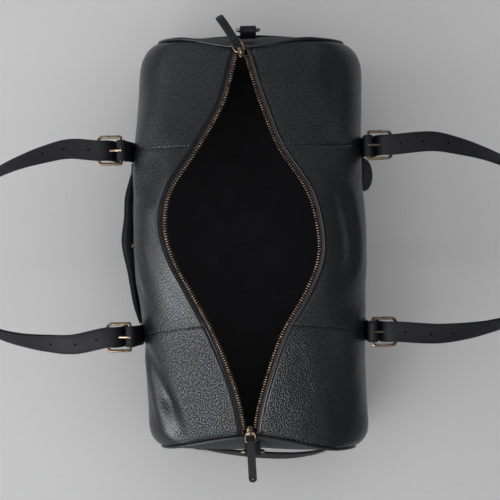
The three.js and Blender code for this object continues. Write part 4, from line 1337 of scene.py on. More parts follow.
@dataclass
class BodyPanels(SubAssembly):
    """The six side panels, with rolled edges beside the zip and soft leather between."""

    gap: float = 0.4
    edge: float = 0.9
    ridge: float = 1.1
    ridge_at: float = 1.1
    ridge_reach: float = 0.9
    groove: float = 1.2
    groove_at: float = 2.9
    groove_reach: float = 0.65
    seam_dip: float = 0.5
    end_dip: float = 0.4
    dip_reach: float = 0.9
    seam_swell: float = 0.06
    swell_at: float = 4.0
    swell_reach: float = 3.0
    end_roll: float = 2.2
    roll_over: Span = (-2.0, 12.0)
    roll_fade: Span = (70.0, 110.0)
    quiet: float = 18.0
    fold_fade: float = 1.4
    slack: float = 0.7
    slack_from: Span = (14.0, 34.0)
    slack_to: Span = (120.0, 165.0)
    phase_left: float = 1.7
    phase_right: float = 0.4
    stitch_inset: float = 8.0
    stitch_rise: float = 0.1
    calm: float = 0.36
    calm_y: float = -4.0
    calm_fade: Span = (24.0, 118.0)
    edge_grain: float = 0.12
    edge_fade: Span = (3.5, 9.0)
    wall_calm: float = 0.7
    wall_fade: Span = (62.0, 100.0)
    close_rows: float = 0.82
    close_columns: float = 0.75
    ripples: Sequence[Ripple] = (
        Ripple(0.75, 17.0, math.inf, 15.0, 60.0, 2.1),
        Ripple(0.25, 8.3, 11.0, 9.1, 23.0, 0.0),
    )
    panels: Sequence[Panel] = (
        Panel("near", -FORM.end, FORM.seam_near, 64),
        Panel("mid", FORM.seam_near, FORM.seam_far, 92),
        Panel("far", FORM.seam_far, FORM.end, 64),
    )

    def counts(self) -> Points:
        """Columns of a panel, closest beside the zip."""
        close = self.close_columns
        return np.concatenate([np.linspace(0, close, 30)[:-1], FORM.counts(40, 22, 16, close)])

    def shares(self, panel: Panel) -> Points:
        """Rows of a panel, closest at its seams and ends."""
        t = np.linspace(0, 1, panel.rows)
        return t - np.sin(2 * math.pi * t) * self.close_rows / (2 * math.pi)

    def ripple(self, y: Points, below: Points, side: Side) -> Points:
        """Slack in the leather: long soft waves, each side its own."""
        phase = self.phase_left if side is Side.LEFT else self.phase_right
        lift = np.zeros_like(y)
        for wave in self.ripples:
            first = np.sin(y / wave.along - below / wave.slant + phase)
            lift = lift + wave.share * first * np.sin(below / wave.across + wave.lag * phase + y / wave.skew)
        fade = smoothstep(below, *self.slack_from)
        return lift * fade * (1 - smoothstep(below, *self.slack_to)) * self.slack

    def folded(self, y: Points, below: Points, side: Side) -> Points:
        """The valleys and swells of the fold table."""
        lift = np.zeros_like(y)
        for fold in (row for row in FOLDS if row.side is side):
            (y0, b0), (y1, b1) = fold.start, fold.stop
            run = math.hypot(y1 - y0, b1 - b0)
            along = ((y - y0) * (y1 - y0) + (below - b0) * (b1 - b0)) / run
            off = ((below - b0) * (y1 - y0) - (y - y0) * (b1 - b0)) / run
            past = np.maximum(np.maximum(-along, along - run), 0)
            banks = hump(off, 2 * fold.width, fold.width) + hump(off, -2 * fold.width, fold.width)
            valley = fold.depth * hump(off, 0, fold.width)
            lift = lift + (fold.swell * banks - valley) * hump(past, 0, self.fold_fade * fold.width)
        return lift

    def relief(self, y: Points, below: Points, side: Side, first: Points, last: Points,
               panel: Panel) -> Points:
        """How far the leather stands off its plain form.

        Args:
            y: places along the bag.
            below: distances below the zip line.
            side: which side.
            first: where the panel starts in each column.
            last: where it stops.
            panel: the panel.

        Returns:
            Heights above the plain form.
        """
        from_edge = below - FORM.leather_edge
        lift = self.ridge * hump(from_edge, self.ridge_at, self.ridge_reach)
        lift = lift - self.groove * hump(from_edge, self.groove_at, self.groove_reach)
        for away, is_seam in ((y - first, panel.start > -FORM.end), (last - y, panel.stop < FORM.end)):
            if is_seam:
                lift = lift - self.seam_dip * hump(away, 0, self.dip_reach)
                lift = lift + self.seam_swell * hump(away, self.swell_at, self.swell_reach)
            else:
                over = 1 - smoothstep(below, *self.roll_fade)
                lift = lift - self.end_dip * hump(away, 0, self.dip_reach)
                lift = lift - self.end_roll * over * (1 - smoothstep(away, *self.roll_over)) ** 2
        quiet = smoothstep(np.minimum(y - first, last - y), 0, self.quiet)
        return lift + (self.ripple(y, below, side) + self.folded(y, below, side)) * quiet

    def grain(self, y: Points, below: Points) -> Points:
        """How strong the grain is: full at both ends, faint in the middle, beside the zip and low down."""
        ends = self.calm + (1 - self.calm) * smoothstep(np.abs(y - self.calm_y), *self.calm_fade)
        from_edge = smoothstep(below - FORM.leather_edge, *self.edge_fade)
        beside = self.edge_grain + (1 - self.edge_grain) * from_edge
        return ends * beside * (1 - self.wall_calm * smoothstep(below, *self.wall_fade))

    def build(self) -> None:
        """Builds the six panels and the stitching beside the zip."""
        counts = self.counts()
        for side in Side:
            for panel in self.panels:
                first = FORM.panel_stop(panel.start, side, counts) + self.gap / 2
                last = FORM.panel_stop(panel.stop, side, counts) - self.gap / 2
                y = first + (last - first) * self.shares(panel)[:, None]
                below = FORM.column_below(y, side, counts, FORM.leather_edge)
                outwards = FORM.outwards(y, side, below)
                lift = self.relief(y, below, side, first, last, panel)
                name = f"side_panel_{side.word}_{panel.name}"
                obj = surface("leather_" + name, FORM.skin(y, side, below) + outwards * lift[..., None])
                face_towards(obj, outwards)
                mark(obj, self.grain(y, below), stack(below, y).reshape(-1, 2) * MM)
                self.keep(thicken(obj, FORM.leather, -1.0, self.edge), GRAINED, [name])
            run = np.linspace(-FORM.end + self.stitch_inset, FORM.end - self.stitch_inset, 300)
            below = np.full_like(run, FORM.leather_edge + self.groove_at)
            path = FORM.lifted(run, side, below, -self.groove + self.stitch_rise)
            self.sew(f"zip_edge_stitching_{side.word}", path, FORM.outwards(run, side, below))


@dataclass
class EndPanels(SubAssembly):
    """The two bulged ends with the piping sewn round them."""

    piping: float = 1.9
    piping_inset: float = 2.5
    inset_fade: Span = (2.0, 40.0)
    bulge_near: float = 6.6
    power_near: float = 3.0
    bulge_far: float = 11.0
    power_far: float = 2.0
    rim_out: float = -1.2
    rim_dip: float = 0.6
    rim_reach: float = 0.02
    tuck: float = -1.3
    centre_z: float = 118.0
    slack: float = 0.8
    slack_waves: float = 3.0
    slack_phase: float = 0.7
    slack_rings: float = 7.0
    grain: float = 0.6
    edge: float = 0.7
    gap: float = 0.4
    rings: int = 34

    def counts(self) -> Points:
        """Points of an end's outline, from the zip to the base seam."""
        return FORM.counts(34, 12, 16)

    def inset(self, height: Points) -> Points:
        """How far the piping's middle lies inside the body's outline."""
        low = self.piping + self.gap
        return low + (self.piping_inset - low) * smoothstep(height, *self.inset_fade)

    def rim(self, end: End) -> Points:
        """The outline of the end panel."""
        return FORM.end_loop(end, self.counts(), lambda z: self.inset(z) + self.piping + self.gap)

    def dish(self, end: End, share: Points) -> Points:
        """How far the panel stands out beyond the end."""
        bulge = self.bulge_near if end is End.NEAR else self.bulge_far
        power = self.power_near if end is End.NEAR else self.power_far
        return self.rim_out + FORM.leather + bulge * (1 - share ** power)

    def face(self, end: End, x: Points, z: float) -> Points:
        """How far the panel's face is from the bag's middle."""
        rim = self.rim(end)
        away = np.arctan2(z - self.centre_z, x)
        turns = np.arctan2(rim[:, 2] - self.centre_z, rim[:, 0])
        order = np.argsort(turns)
        reach = np.hypot(rim[:, 0], rim[:, 2] - self.centre_z)
        out = np.interp(away, turns[order], reach[order], period=2 * math.pi)
        drawn = np.interp(away, turns[order], end.value * rim[order, 1] - FORM.end, period=2 * math.pi)
        share = np.minimum(np.hypot(x, z - self.centre_z) / out, 1)
        return FORM.end + self.dish(end, share) + drawn * share ** 2

    def build(self) -> None:
        """Builds both ends."""
        for end in End:
            rim = self.rim(end)
            centre = UP * self.centre_z
            rows = []
            for share in np.sin(np.linspace(math.pi / 2, 0, self.rings)):
                row = centre + (rim - centre) * share
                drawn = (rim[:, 1] - end.value * FORM.end) * share ** 2
                turn = np.arctan2(row[:, 2] - self.centre_z, row[:, 0])
                wave = np.sin(self.slack_waves * turn + self.slack_phase) * np.sin(share * self.slack_rings)
                slack = wave * self.slack * (1 - share ** 4) - self.rim_dip * hump(share, 1.0, self.rim_reach)
                row[:, 1] = end.value * (FORM.end + self.dish(end, share) + slack) + drawn
                rows.append(row)
            name = f"end_panel_{end.word}"
            obj = surface("leather_" + name, np.array(rows), wrap=True)
            weld(obj)
            face_towards(obj, np.tile(ALONG * end.value, (len(obj.data.vertices), 1)))
            mark(obj, self.grain, spots(obj, (0, 2)))
            self.keep(thicken(obj, FORM.leather, -1.0, self.edge), END_LEATHER, [name])
            endwise = ALONG * end.value
            loop = FORM.end_loop(end, self.counts(), self.inset) - endwise * self.tuck
            cord = tube(f"leather_piping_{end.word}", loop, endwise, self.piping, closed=True)
            self.keep(cord, PIPING, [f"piping_{end.word}"])


@dataclass
class Lining(SubAssembly):
    """The dark cloth bag inside, open at the mouth."""

    edge: float = 20.0
    depth: float = 5.2
    cloth: float = 1.0
    near: float = -212.0
    far: float = 214.0
    centre_z: float = 118.0
    fold: float = 1.6
    fold_from: Span = (25.0, 70.0)
    fold_to: Span = (200.0, 290.0)
    wave: Ripple = Ripple(0.5, 11.0, -70.0, 37.0, math.inf, 0.0)
    beat: float = 31.0
    rows: int = 70
    rings: int = 14

    def build(self) -> None:
        """Builds the tub and its two ends, sewn into one."""
        y = np.linspace(self.near, self.far, self.rows)[:, None]
        halves = []
        for side in Side:
            below = FORM.column_below(y, side, FORM.counts(22, 12, 12)[None, :], self.edge)
            wave = np.sin(y / self.wave.along - below / self.wave.slant) * np.sin(below / self.wave.across)
            hang = smoothstep(below, *self.fold_from) * (1 - smoothstep(below, *self.fold_to))
            fold = self.fold * hang * (self.wave.share + self.wave.share * wave * np.sin(y / self.beat))
            half = FORM.lifted(y, side, below, -self.depth - fold)
            halves.append(half if side is Side.LEFT else half[:, ::-1])
        tub = np.concatenate(halves, axis=1)
        pieces = [surface("lining_tub", tub)]
        for row in (tub[0], tub[-1]):
            hub = np.array([0.0, row[0, 1], self.centre_z])
            rows = np.array([hub + (row - hub) * share for share in np.linspace(1, 0, self.rings)])
            pieces.append(surface("lining_end", rows, wrap=True))
        obj = unite("cloth_lining", pieces)
        weld(obj)
        change(obj, "SOLIDIFY", thickness=self.cloth * MM, offset=-1.0)
        self.keep(smooth(obj, 60), LINING_CLOTH, ["lining"])


@dataclass
class ZipRun(SubAssembly):
    """The open zip: two tapes with their teeth."""

    tape: float = 1.0
    tape_depth: float = 3.8
    tape_edge: float = 3.3
    tape_under: float = 13.0
    tape_round: float = 0.3
    tape_inset: float = 1.0
    bead: float = 0.55
    bead_at: float = 0.9
    bead_reach: float = 0.8
    pitch: float = 2.85
    tooth_long: float = 4.4
    tooth_wide: float = 1.5
    tooth_high: float = 2.6
    tooth_round: float = 0.35
    tooth_below: float = 0.7
    tooth_depth: float = 3.0
    head_from: float = -0.4
    head_wide: float = 0.62
    head_high: float = 0.7
    look_under: float = 3.0
    near: float = -206.0
    far: float = 213.0

    def tooth(self) -> Object:
        """One tooth: a rounded block whose head is nipped in behind its nib."""
        one = add(bpy.ops.mesh.primitive_cube_add, size=1.0)
        one.scale = (self.tooth_long * MM, self.tooth_wide * MM, self.tooth_high * MM)
        settle(one)
        bpy.ops.object.mode_set(mode="EDIT")
        bpy.ops.mesh.select_all(action="SELECT")
        bpy.ops.mesh.subdivide(number_cuts=1)
        bpy.ops.object.mode_set(mode="OBJECT")
        for vertex in one.data.vertices:
            if vertex.co.x < self.head_from * self.tooth_long * MM:
                vertex.co.y *= self.head_wide
                vertex.co.z *= self.head_high
        change(one, "BEVEL", width=self.tooth_round * MM, segments=1, limit_method="ANGLE",
               angle_limit=math.radians(30))
        return one

    def build(self) -> None:
        """Builds the tapes and the rows of teeth."""
        near, far = (FORM.end_at(end, FORM.zip_x, FORM.dip_high) for end in End)
        y = np.linspace(near + self.tape_inset, far - self.tape_inset, 220)[:, None]
        below = np.linspace(self.tape_edge, self.tape_under, 15)[None, :]
        bead = self.bead * hump(below, self.tape_edge + self.bead_at, self.bead_reach)
        for side in Side:
            rows = FORM.lifted(y, side, below, -self.tape_depth + bead)
            obj = surface(f"woven_zip_tape_{side.word}", rows)
            outwards = FORM.outwards(y, side, np.full_like(y, self.tape_edge))
            face_towards(obj, np.broadcast_to(outwards, rows.shape))
            tape = thicken(obj, self.tape, -1.0, self.tape_round)
            self.keep(tape, ZIP_CLOTH, [f"zip_tape_{side.word}"])
            self.teeth(side)

    def teeth(self, side: Side) -> None:
        """Sets one row of teeth along the zip line, the right row half a pitch on."""
        y = np.linspace(self.near, self.far, 600)
        line = FORM.lifted(y, side, self.tooth_below, -self.tooth_depth)
        at, run = spread(line, self.pitch)
        if side is Side.RIGHT:
            at = at[:-1] + 0.5 * (at[1] - at[0])
        places_y = np.interp(at, run, y)
        below = np.full_like(places_y, self.tooth_below)
        places = along_path(line, run, at)
        normals = FORM.outwards(places_y, side, below)
        inwards = unit(np.cross(unit(np.gradient(places, axis=0)), normals))
        under = FORM.skin(places_y, side, below + self.look_under) - FORM.skin(places_y, side, below)
        inwards = inwards * np.sign((inwards * under).sum(axis=1, keepdims=True))
        axes = np.stack([inwards, np.cross(normals, inwards), normals], axis=1)
        row = copies(f"brass_zip_teeth_{side.word}", self.tooth(), places, axes)
        self.keep(row, TEETH_BRASS, [f"zip_teeth_{side.word}"])


@dataclass(frozen=True)
class ZipEnd:
    """Where a slider stands, how far its pull is turned, and how the pull falls."""

    end: End
    y: float
    turn: float
    fall: Stops


@dataclass
class ZipPulls(SubAssembly):
    """The two sliders with their rings and leather pulls."""

    length: float = 10.0
    width: float = 9.0
    low: float = -4.6
    top: float = 1.2
    nose: float = 5.6
    flare: Span = (0.15, 0.85)
    corner: float = 1.2
    corner_reach: float = 0.08
    plate: float = 1.5
    plate_round: float = 0.4
    under_share: float = 0.97
    web_share: float = 0.45
    bridge_long: float = 4.0
    bridge_high: float = 4.4
    bridge_wire: float = 1.5
    bridge_wide: float = 1.9
    bridge_sunk: float = 0.6
    wire: float = 1.6
    ring_long: float = 13.0
    ring_wide: float = 12.8
    ring_flat: float = 0.6
    ring_corner: float = 1.8
    ring_out: float = 0.1
    ring_ease: float = 1.2
    pull_wide: float = 9.2
    pull_round: float = 0.35
    ply: float = 1.45
    ply_gap: float = 0.06
    pull_eye: float = 2.2
    pull_hole: float = 0.8
    hole_deep: float = 9.0
    hole_back: int = 6
    stitch_rail: float = 1.5
    probe: float = 5.0
    gap: float = 0.4
    ends: Sequence[ZipEnd] = (
        ZipEnd(End.NEAR, -208.4, 2, ((2.4, 0), (15, -0.5), (30, -3.5), (46, -9))),
        ZipEnd(End.FAR, 215.5, 30, ((2.4, 0), (11, -0.2), (22, -4.5), (31, -13), (37.5, -24.5))),
    )

    def slider(self, end: End) -> list[Object]:
        """A slider at the origin: two shield-shaped plates, the web between them, and the bridge."""
        steps = np.linspace(0, 1, 11)
        flare = self.nose + (self.width - self.nose) * smoothstep(steps, *self.flare)
        corners = hump(steps, 0, self.corner_reach) + hump(steps, 1, self.corner_reach)
        right = stack(flare / 2 - self.corner * corners, -end.value * (1 - 2 * steps) * self.length / 2)
        outline = np.concatenate([right, (right * [-1, 1])[::-1]])
        levels = (
            (self.top - self.plate / 2, self.plate, 1.0),
            (self.low + self.plate / 2, self.plate, self.under_share),
            ((self.top + self.low) / 2, self.top - self.low - self.plate, self.web_share),
        )
        pieces = []
        for level, thick, share in levels:
            plate = add(bpy.ops.mesh.primitive_circle_add, vertices=len(outline), fill_type="NGON")
            rim = stack(outline[:, 0] * share, outline[:, 1] * share, level)
            plate.data.vertices.foreach_set("co", (rim * MM).ravel())
            plate.data.update()
            pieces.append(thicken(plate, thick, 0.0, self.plate_round))
            weld(plate)
        turns = np.linspace(0, math.pi, 17)
        rise = self.top - self.bridge_sunk + self.bridge_high * np.sin(turns)
        arch = stack(0.0, self.bridge_long * np.cos(turns), rise)
        pieces.append(tube("bridge", arch, ACROSS, self.bridge_wire / 2, flat=self.bridge_wide, sides=10))
        return pieces

    def build(self) -> None:
        """Builds both ends of the zip."""
        for spot in self.ends:
            x = float(FORM.column("zip_right", spot.y) - FORM.column("zip_left", spot.y)) / 2
            z = float(FORM.column("zip_z", spot.y))
            low, high = (FORM.column("zip_z", spot.y + step) for step in (-self.probe, self.probe))
            rise = math.atan2(high - low, 2 * self.probe)
            word = spot.end.word
            body = unite(f"brass_zip_slider_{word}", self.slider(spot.end))
            body.rotation_euler = (rise, 0, 0)
            body.location = Vector((x, spot.y, z)) * MM
            self.keep(settle(body), BRASS, [f"zip_slider_{word}"])
            bar_z = z + self.top + self.gap + self.wire / 2 + abs(math.tan(rise)) * self.ring_ease
            bar = np.array([x, spot.y + spot.end.value * self.ring_out, bar_z])
            turn = math.radians(spot.turn) + (math.pi if spot.end is End.NEAR else 0.0)
            out = np.array([-math.sin(turn), math.cos(turn), 0.0])
            across = np.array([out[1], -out[0], 0.0])
            self.ring(word, bar, out, across)
            self.pull(word, bar + out * (self.ring_long - self.wire), out, across, spot.fall)

    def ring(self, word: str, bar: Points, out: Points, across: Points) -> None:
        """A wire ring through the bridge, bowed at the slider and square at the pull.

        Args:
            word: the end's name.
            bar: where the ring lies in the bridge.
            out: the way to the pull.
            across: the way across it.
        """
        half = self.ring_wide / 2 - self.wire / 2
        outline = rounded((0, -half), (self.ring_long - self.wire, half), half - self.ring_flat,
                          self.ring_corner, steps=9)
        path = bar + outline[:, :1] * out + outline[:, 1:] * across
        ring = tube(f"brass_pull_ring_{word}", path, UP, self.wire / 2, sides=10, closed=True)
        self.keep(ring, BRASS, [f"pull_ring_{word}"])

    def pull(self, word: str, eye: Points, out: Points, across: Points, fall: Stops) -> None:
        """A leather strip folded over the ring's bar and sewn to itself, with a round end.

        Args:
            word: the end's name.
            eye: the middle of the ring's bar.
            out: the way that the pull lies.
            across: the way across it.
            fall: stops of its middle line, out from the eye and up.
        """
        line = even(centripetal(np.array(fall, float), 12), 0.7)
        lift = left_of(line) * (self.ply + self.ply_gap) / 2
        join = math.degrees(math.asin((self.ply + self.ply_gap) / 2 / self.pull_eye))
        eye_arc = arc((0, 0), self.pull_eye, -join, -360 + join, 17)
        over = line + lift
        flat = np.concatenate([(line - lift)[::-1], eye_arc, over])
        path = eye + flat[:, :1] * out + flat[:, 1:] * UP
        width = round_end(line, self.pull_wide, self.pull_wide / 2 - 0.05)
        widths = np.concatenate([width[::-1], np.full(len(eye_arc), self.pull_wide), width])
        strip = strap(f"leather_zip_puller_{word}", path, across, widths, self.ply, self.pull_round, 6)
        top = eye + over[:, :1] * out + over[:, 1:] * UP + 0.5 * self.ply * UP
        hole = drill(top[-self.hole_back], UP, self.pull_hole, self.hole_deep)
        self.keep(cut(strip, [hole]), TRIMMING, [f"zip_puller_{word}"])
        rail = slice(5, -4)
        sides = (width / 2 - self.stitch_rail)[rail, None] * across
        path = np.concatenate([top[rail] + sides, (top[rail] - sides)[::-1]])
        self.sew(f"puller_stitching_{word}", path, UP, pitch=2.6, length=1.9, thread=0.26)


@dataclass(frozen=True)
class BuckleSpot:
    """Where a buckle's bar is."""

    side: Side
    end: End
    y: float
    bar: float

    @property
    def word(self) -> str:
        """The buckle's name in piece names."""
        return f"{self.side.word}_{self.end.word}"

    def at(self, out: Points, across: Points, up: Points) -> Points:
        """Points at distances out from the bar, along it and above it."""
        return stack(self.side.value * (self.bar + out), self.y + across, BAR_Z + up)


BAR_Z = 214.0
STRAP_WIDTH = 23.0
BUCKLE_SPOTS = (
    BuckleSpot(Side.LEFT, End.FAR, FORM.seam_far, 146.0),
    BuckleSpot(Side.LEFT, End.NEAR, FORM.seam_near, 140.0),
    BuckleSpot(Side.RIGHT, End.FAR, FORM.seam_far, 132.0),
    BuckleSpot(Side.RIGHT, End.NEAR, FORM.seam_near, 133.0),
)


def buckle_at(side: Side, end: End) -> BuckleSpot:
    """The buckle on a side, towards an end."""
    return next(spot for spot in BUCKLE_SPOTS if spot.side is side and spot.end is end)


@dataclass
class Buckles(SubAssembly):
    """Four brass buckles on the straps that are sewn up the walls."""

    bar_half: float = 1.7
    length: float = 27.5
    half: float = 17.0
    rail: float = 3.6
    depth: float = 3.4
    toe: float = 3.2
    outer_corners: Span = (3.0, 7.0)
    inner_corners: Span = (0.8, 4.0)
    arch: float = 0.9
    sunk: float = 0.3
    strap_thick: float = 2.6
    strap_gap: float = 1.2
    ply_gap: float = 0.25
    fold: float = 3.8
    fold_turn: Span = (172.0, -38.0)
    fold_drops: Sequence[float] = (-8.0, -0.5)
    tail: Span = (-27.0, -9.5)
    foot: float = 26.0
    heights: Sequence[float] = (26, 50, 80, 110, 140, 168)
    slot_place: Sequence[float] = (5.0, 0.0, 1.0)
    slot_size: Sequence[float] = (11.0, 4.6, 11.0)
    slot_round: float = 1.5
    stitch_foot: float = 4.0
    stitch_top: float = -30.0
    stitch_rail: float = 3.0
    curl: float = 3.45
    curl_turn: Span = (250.0, 97.0)
    prong_wide: float = 1.0
    prong_taper: float = 0.3
    prong_tip: float = 0.23
    tip_reach: float = 0.06
    prong_flat: float = 1.5
    prong_path: Stops = (
        (-0.4, 3.4), (2.4, 2.7), (6, 1.5), (12, -0.4), (18, -2.1), (24, -3.1), (28.3, -3.1),
    )

    def frame(self, spot: BuckleSpot) -> None:
        """A cast frame: round-edged rails, a rounder toe, and the straight bar."""
        hollow = self.half - self.rail
        outer = rounded((-self.bar_half, -self.half), (self.length, self.half), *self.outer_corners)
        inner = rounded((self.bar_half, -hollow), (self.length - self.toe, hollow), *self.inner_corners)
        middle, reach = (outer + inner) / 2, (outer - inner) / 2
        turns = np.linspace(0, 2 * math.pi, 12, endpoint=False)
        flat = middle[:, None] + reach[:, None] * np.cos(turns)[None, :, None]
        arch = self.arch * np.sin(math.pi * np.clip(flat[..., 0] / self.length, 0, 1))
        high = self.depth / 2 * np.sin(turns)[None, :] + arch - self.sunk
        rings = spot.at(flat[..., 0], flat[..., 1], high)
        obj = surface(f"brass_buckle_frame_{spot.word}", rings, wrap=True, close=True)
        weld(obj)
        self.keep(smooth(obj, 60), BRASS, [f"buckle_frame_{spot.word}"])

    def prong(self, spot: BuckleSpot) -> None:
        """A tapered prong, curled round the bar and down through the strap."""
        curl = arc((0, 0), self.curl, *self.curl_turn, 12)
        flat = np.concatenate([curl, centripetal(np.array(self.prong_path), 6)])
        share = np.linspace(0, 1, len(flat))
        tip = self.prong_tip * hump(share, 1.0, self.tip_reach)
        radius = self.prong_wide - self.prong_taper * share - tip
        path = spot.at(flat[:, 0], 0.0, flat[:, 1])
        obj = tube(f"brass_buckle_prong_{spot.word}", path, ALONG, radius, flat=self.prong_flat, sides=10)
        self.keep(obj, BRASS, [f"buckle_prong_{spot.word}"])

    def slot(self, spot: BuckleSpot) -> Object:
        """The cutter of the slot that the prong stands in."""
        place = Vector(spot.at(*self.slot_place) * MM)
        tool = add(bpy.ops.mesh.primitive_cube_add, size=1.0, location=place)
        tool.scale = Vector(self.slot_size) * MM
        settle(tool)
        change(tool, "BEVEL", width=self.slot_round * MM, segments=3)
        return tool

    def carrier(self, spot: BuckleSpot) -> None:
        """The strap up the wall, folded over the bar and back behind itself."""
        reach = STRAP_WIDTH / 2
        rise = []
        for height in self.heights:
            walls = FORM.wall_at(spot.y + np.array([-reach, 0.0, reach]), spot.side, height)
            rise.append((walls.max() + self.strap_gap + self.strap_thick / 2 - spot.bar, height - BAR_Z))
        rise += [(-self.fold, drop) for drop in self.fold_drops]
        line = even(centripetal(np.array(rise), 14), 2.0)
        over = arc((0, 0), self.fold, *self.fold_turn, 18)
        outwards = -left_of(line)
        behind = line + outwards * (self.strap_thick + self.ply_gap)
        low, high = self.tail
        back = behind[(line[:, 1] < high) & (line[:, 1] > low)][::-1]
        tail = even(centripetal(np.concatenate([over[-2:], back]), 6), 1.5)[3:]
        flat = np.concatenate([line, over, tail])
        path = spot.at(flat[:, 0], 0.0, flat[:, 1])
        obj = strap(f"leather_buckle_strap_{spot.word}", path, ALONG, STRAP_WIDTH, self.strap_thick)
        self.keep(cut(obj, [self.slot(spot)]), STRAPPING, [f"buckle_strap_{spot.word}"])
        self.stitching(spot, line, outwards)

    def stitching(self, spot: BuckleSpot, line: Points, outwards: Points) -> None:
        """The stitches that hold the strap to the wall.

        Args:
            spot: where the buckle is.
            line: the strap's middle line, out from the bar and above it.
            outwards: the strap's direction along it.
        """
        sewn = (line[:, 1] > self.foot - BAR_Z + self.stitch_foot) & (line[:, 1] < self.stitch_top)
        face = (line + outwards * (self.strap_thick / 2))[sewn]
        normals = stack(spot.side.value * outwards[sewn, 0], 0.0, outwards[sewn, 1])
        rail = STRAP_WIDTH / 2 - self.stitch_rail
        left, right = (spot.at(face[:, 0], across, face[:, 1]) for across in (-rail, rail))
        foot = np.linspace(left[0], right[0], 8)[1:-1]
        path = np.concatenate([left[::-1], foot, right])
        ways = np.concatenate([normals[::-1], np.repeat(normals[:1], len(foot), axis=0), normals])
        self.sew(f"strap_stitching_{spot.word}", path, ways)

    def build(self) -> None:
        """Builds all four."""
        for spot in BUCKLE_SPOTS:
            self.carrier(spot)
            self.frame(spot)
            self.prong(spot)


@dataclass(frozen=True)
class Bend:
    """A stop of a carry handle: how far out, where at the far and near ends, how high, and its tilt."""

    out: float
    far: float
    near: float
    z: float
    tilt: float


@dataclass
class CarryHandles(SubAssembly):
    """Two strap handles, folded outwards, with punched ends that hang behind the buckles."""

    thick: float = 3.0
    edge: float = 0.9
    corner: float = 9.0
    hole: float = 1.4
    hole_first: float = 36.0
    hole_pitch: float = 27.0
    hole_count: int = 3
    hole_long: float = 4.0
    hole_up: float = 1.75
    prong_hole: float = 12.5
    arm_x: float = 12.0
    arm_y: float = 60.0
    arm_z: float = 174.0
    left_drop: float = 3.6
    steps: int = 12
    tail: Stops = ((8.0, -58), (8.2, -40), (8.8, -24), (10.0, -12), (12.6, -3.6), (17.5, 2.0), (26.5, 3.7))
    bends: Sequence[Bend] = (
        Bend(205, 112, -104.5, 212, 18),
        Bend(235, 106.5, -103, 206, 36),
        Bend(262, 99, -99.5, 199, 52),
        Bend(290, 88, -92.5, 191, 62),
        Bend(320, 71, -78, 182, 70),
        Bend(346, 44, -52, 174, 75),
    )
    middle: Bend = Bend(360, -4, -4, 170, 77)

    def stops(self, side: Side) -> tuple[Points, Points]:
        """The handle's stops and the way across it at each.

        Args:
            side: which side.

        Returns:
            The stops, from the far tail to the near one, and the ways across.
        """
        tail = np.array(self.tail)
        far, near = (buckle_at(side, end).at(tail[:, 0], 0.0, tail[:, 1]) for end in (End.FAR, End.NEAR))
        go = [(bend.out, bend.far, bend.z, bend.tilt) for bend in (*self.bends, self.middle)]
        go += [(bend.out, bend.near, bend.z, bend.tilt) for bend in reversed(self.bends)]
        way = np.array(go)
        arch = way[:, :3] * [side.value, 1, 1]
        if side is Side.LEFT:
            arch[-len(self.bends):, 1] -= self.left_drop
        points = np.concatenate([far, arch, near[::-1]])
        count = len(tail)
        across = np.zeros_like(points)
        across[:count, 1] = End.FAR.value
        across[-count:, 1] = End.NEAR.value
        along = points[count + 1:-count + 1] - points[count - 1:-count - 1]
        outwards = unit(stack(-along[:, 1], along[:, 0], 0.0)) * side.value
        tilt = np.radians(way[:, 3])[:, None]
        across[count:-count] = outwards * np.cos(tilt) - UP * np.sin(tilt)
        return points, across

    def holes(self, side: Side, path: Points, normals: Points) -> list[Object]:
        """Cutters of the holes: one at each prong, and a row along each arm.

        Args:
            side: which side.
            path: points of the handle's middle line.
            normals: the handle's direction at each.

        Returns:
            The cutters.
        """
        row = [self.hole_first + i * self.hole_pitch for i in range(self.hole_count)]
        tools = []
        for spot in (s for s in BUCKLE_SPOTS if s.side is side):
            on_arm = (path[:, 1] * spot.end.value > self.arm_y) & (path[:, 2] > self.arm_z)
            arm = np.flatnonzero(on_arm & (np.abs(path[:, 0]) > spot.bar + self.arm_x))
            for out in (self.prong_hole, *row):
                nearest = arm[np.argmin(np.abs(np.abs(path[arm, 0]) - spot.bar - out))]
                middle = path[nearest] + normals[nearest] * self.thick * self.hole_up
                tools.append(drill(middle, normals[nearest], self.hole, self.thick * self.hole_long))
        return tools

    def build(self) -> None:
        """Builds both handles."""
        for side in Side:
            points, across = self.stops(side)
            path = centripetal(points, self.steps)
            shares = np.linspace(0, len(points) - 1, len(path))
            tangents = unit(np.gradient(path, axis=0))
            ways = square_to(along_path(across, np.arange(len(points)), shares), tangents)
            normals = unit(np.cross(ways, tangents)) * -side.value
            widths = round_ends(path, STRAP_WIDTH, self.corner)
            obj = strap(f"leather_handle_{side.word}", path, ways, widths, self.thick, self.edge, 10)
            self.keep(cut(obj, self.holes(side, path, normals)), STRAPPING, [f"handle_{side.word}"])


@dataclass(frozen=True)
class RingSpot:
    """Where an end ring's bar is, and the way its tab takes to it."""

    end: End
    x: float
    reach: float
    z: float
    path: Stops

    def at(self, across: Points, out: Points, up: Points) -> Points:
        """Points at distances along the bar, out from it and above it."""
        return stack(self.x + across, self.end.value * (self.reach + out), self.z + up)


@dataclass(frozen=True)
class EndStrap:
    """The strap across an end: its middle, its reach, and how it stands free, leaning to one side."""

    end: End
    x: float
    reach: float
    bow: float
    tilt: float
    left: float
    right: float

    def free(self, share: Points) -> Points:
        """How free the strap is."""
        top = (self.left - self.right) / (self.left + self.right)
        peak = (1 + top) ** self.left * (1 - top) ** self.right
        return (1 + share) ** self.left * (1 - share) ** self.right / peak


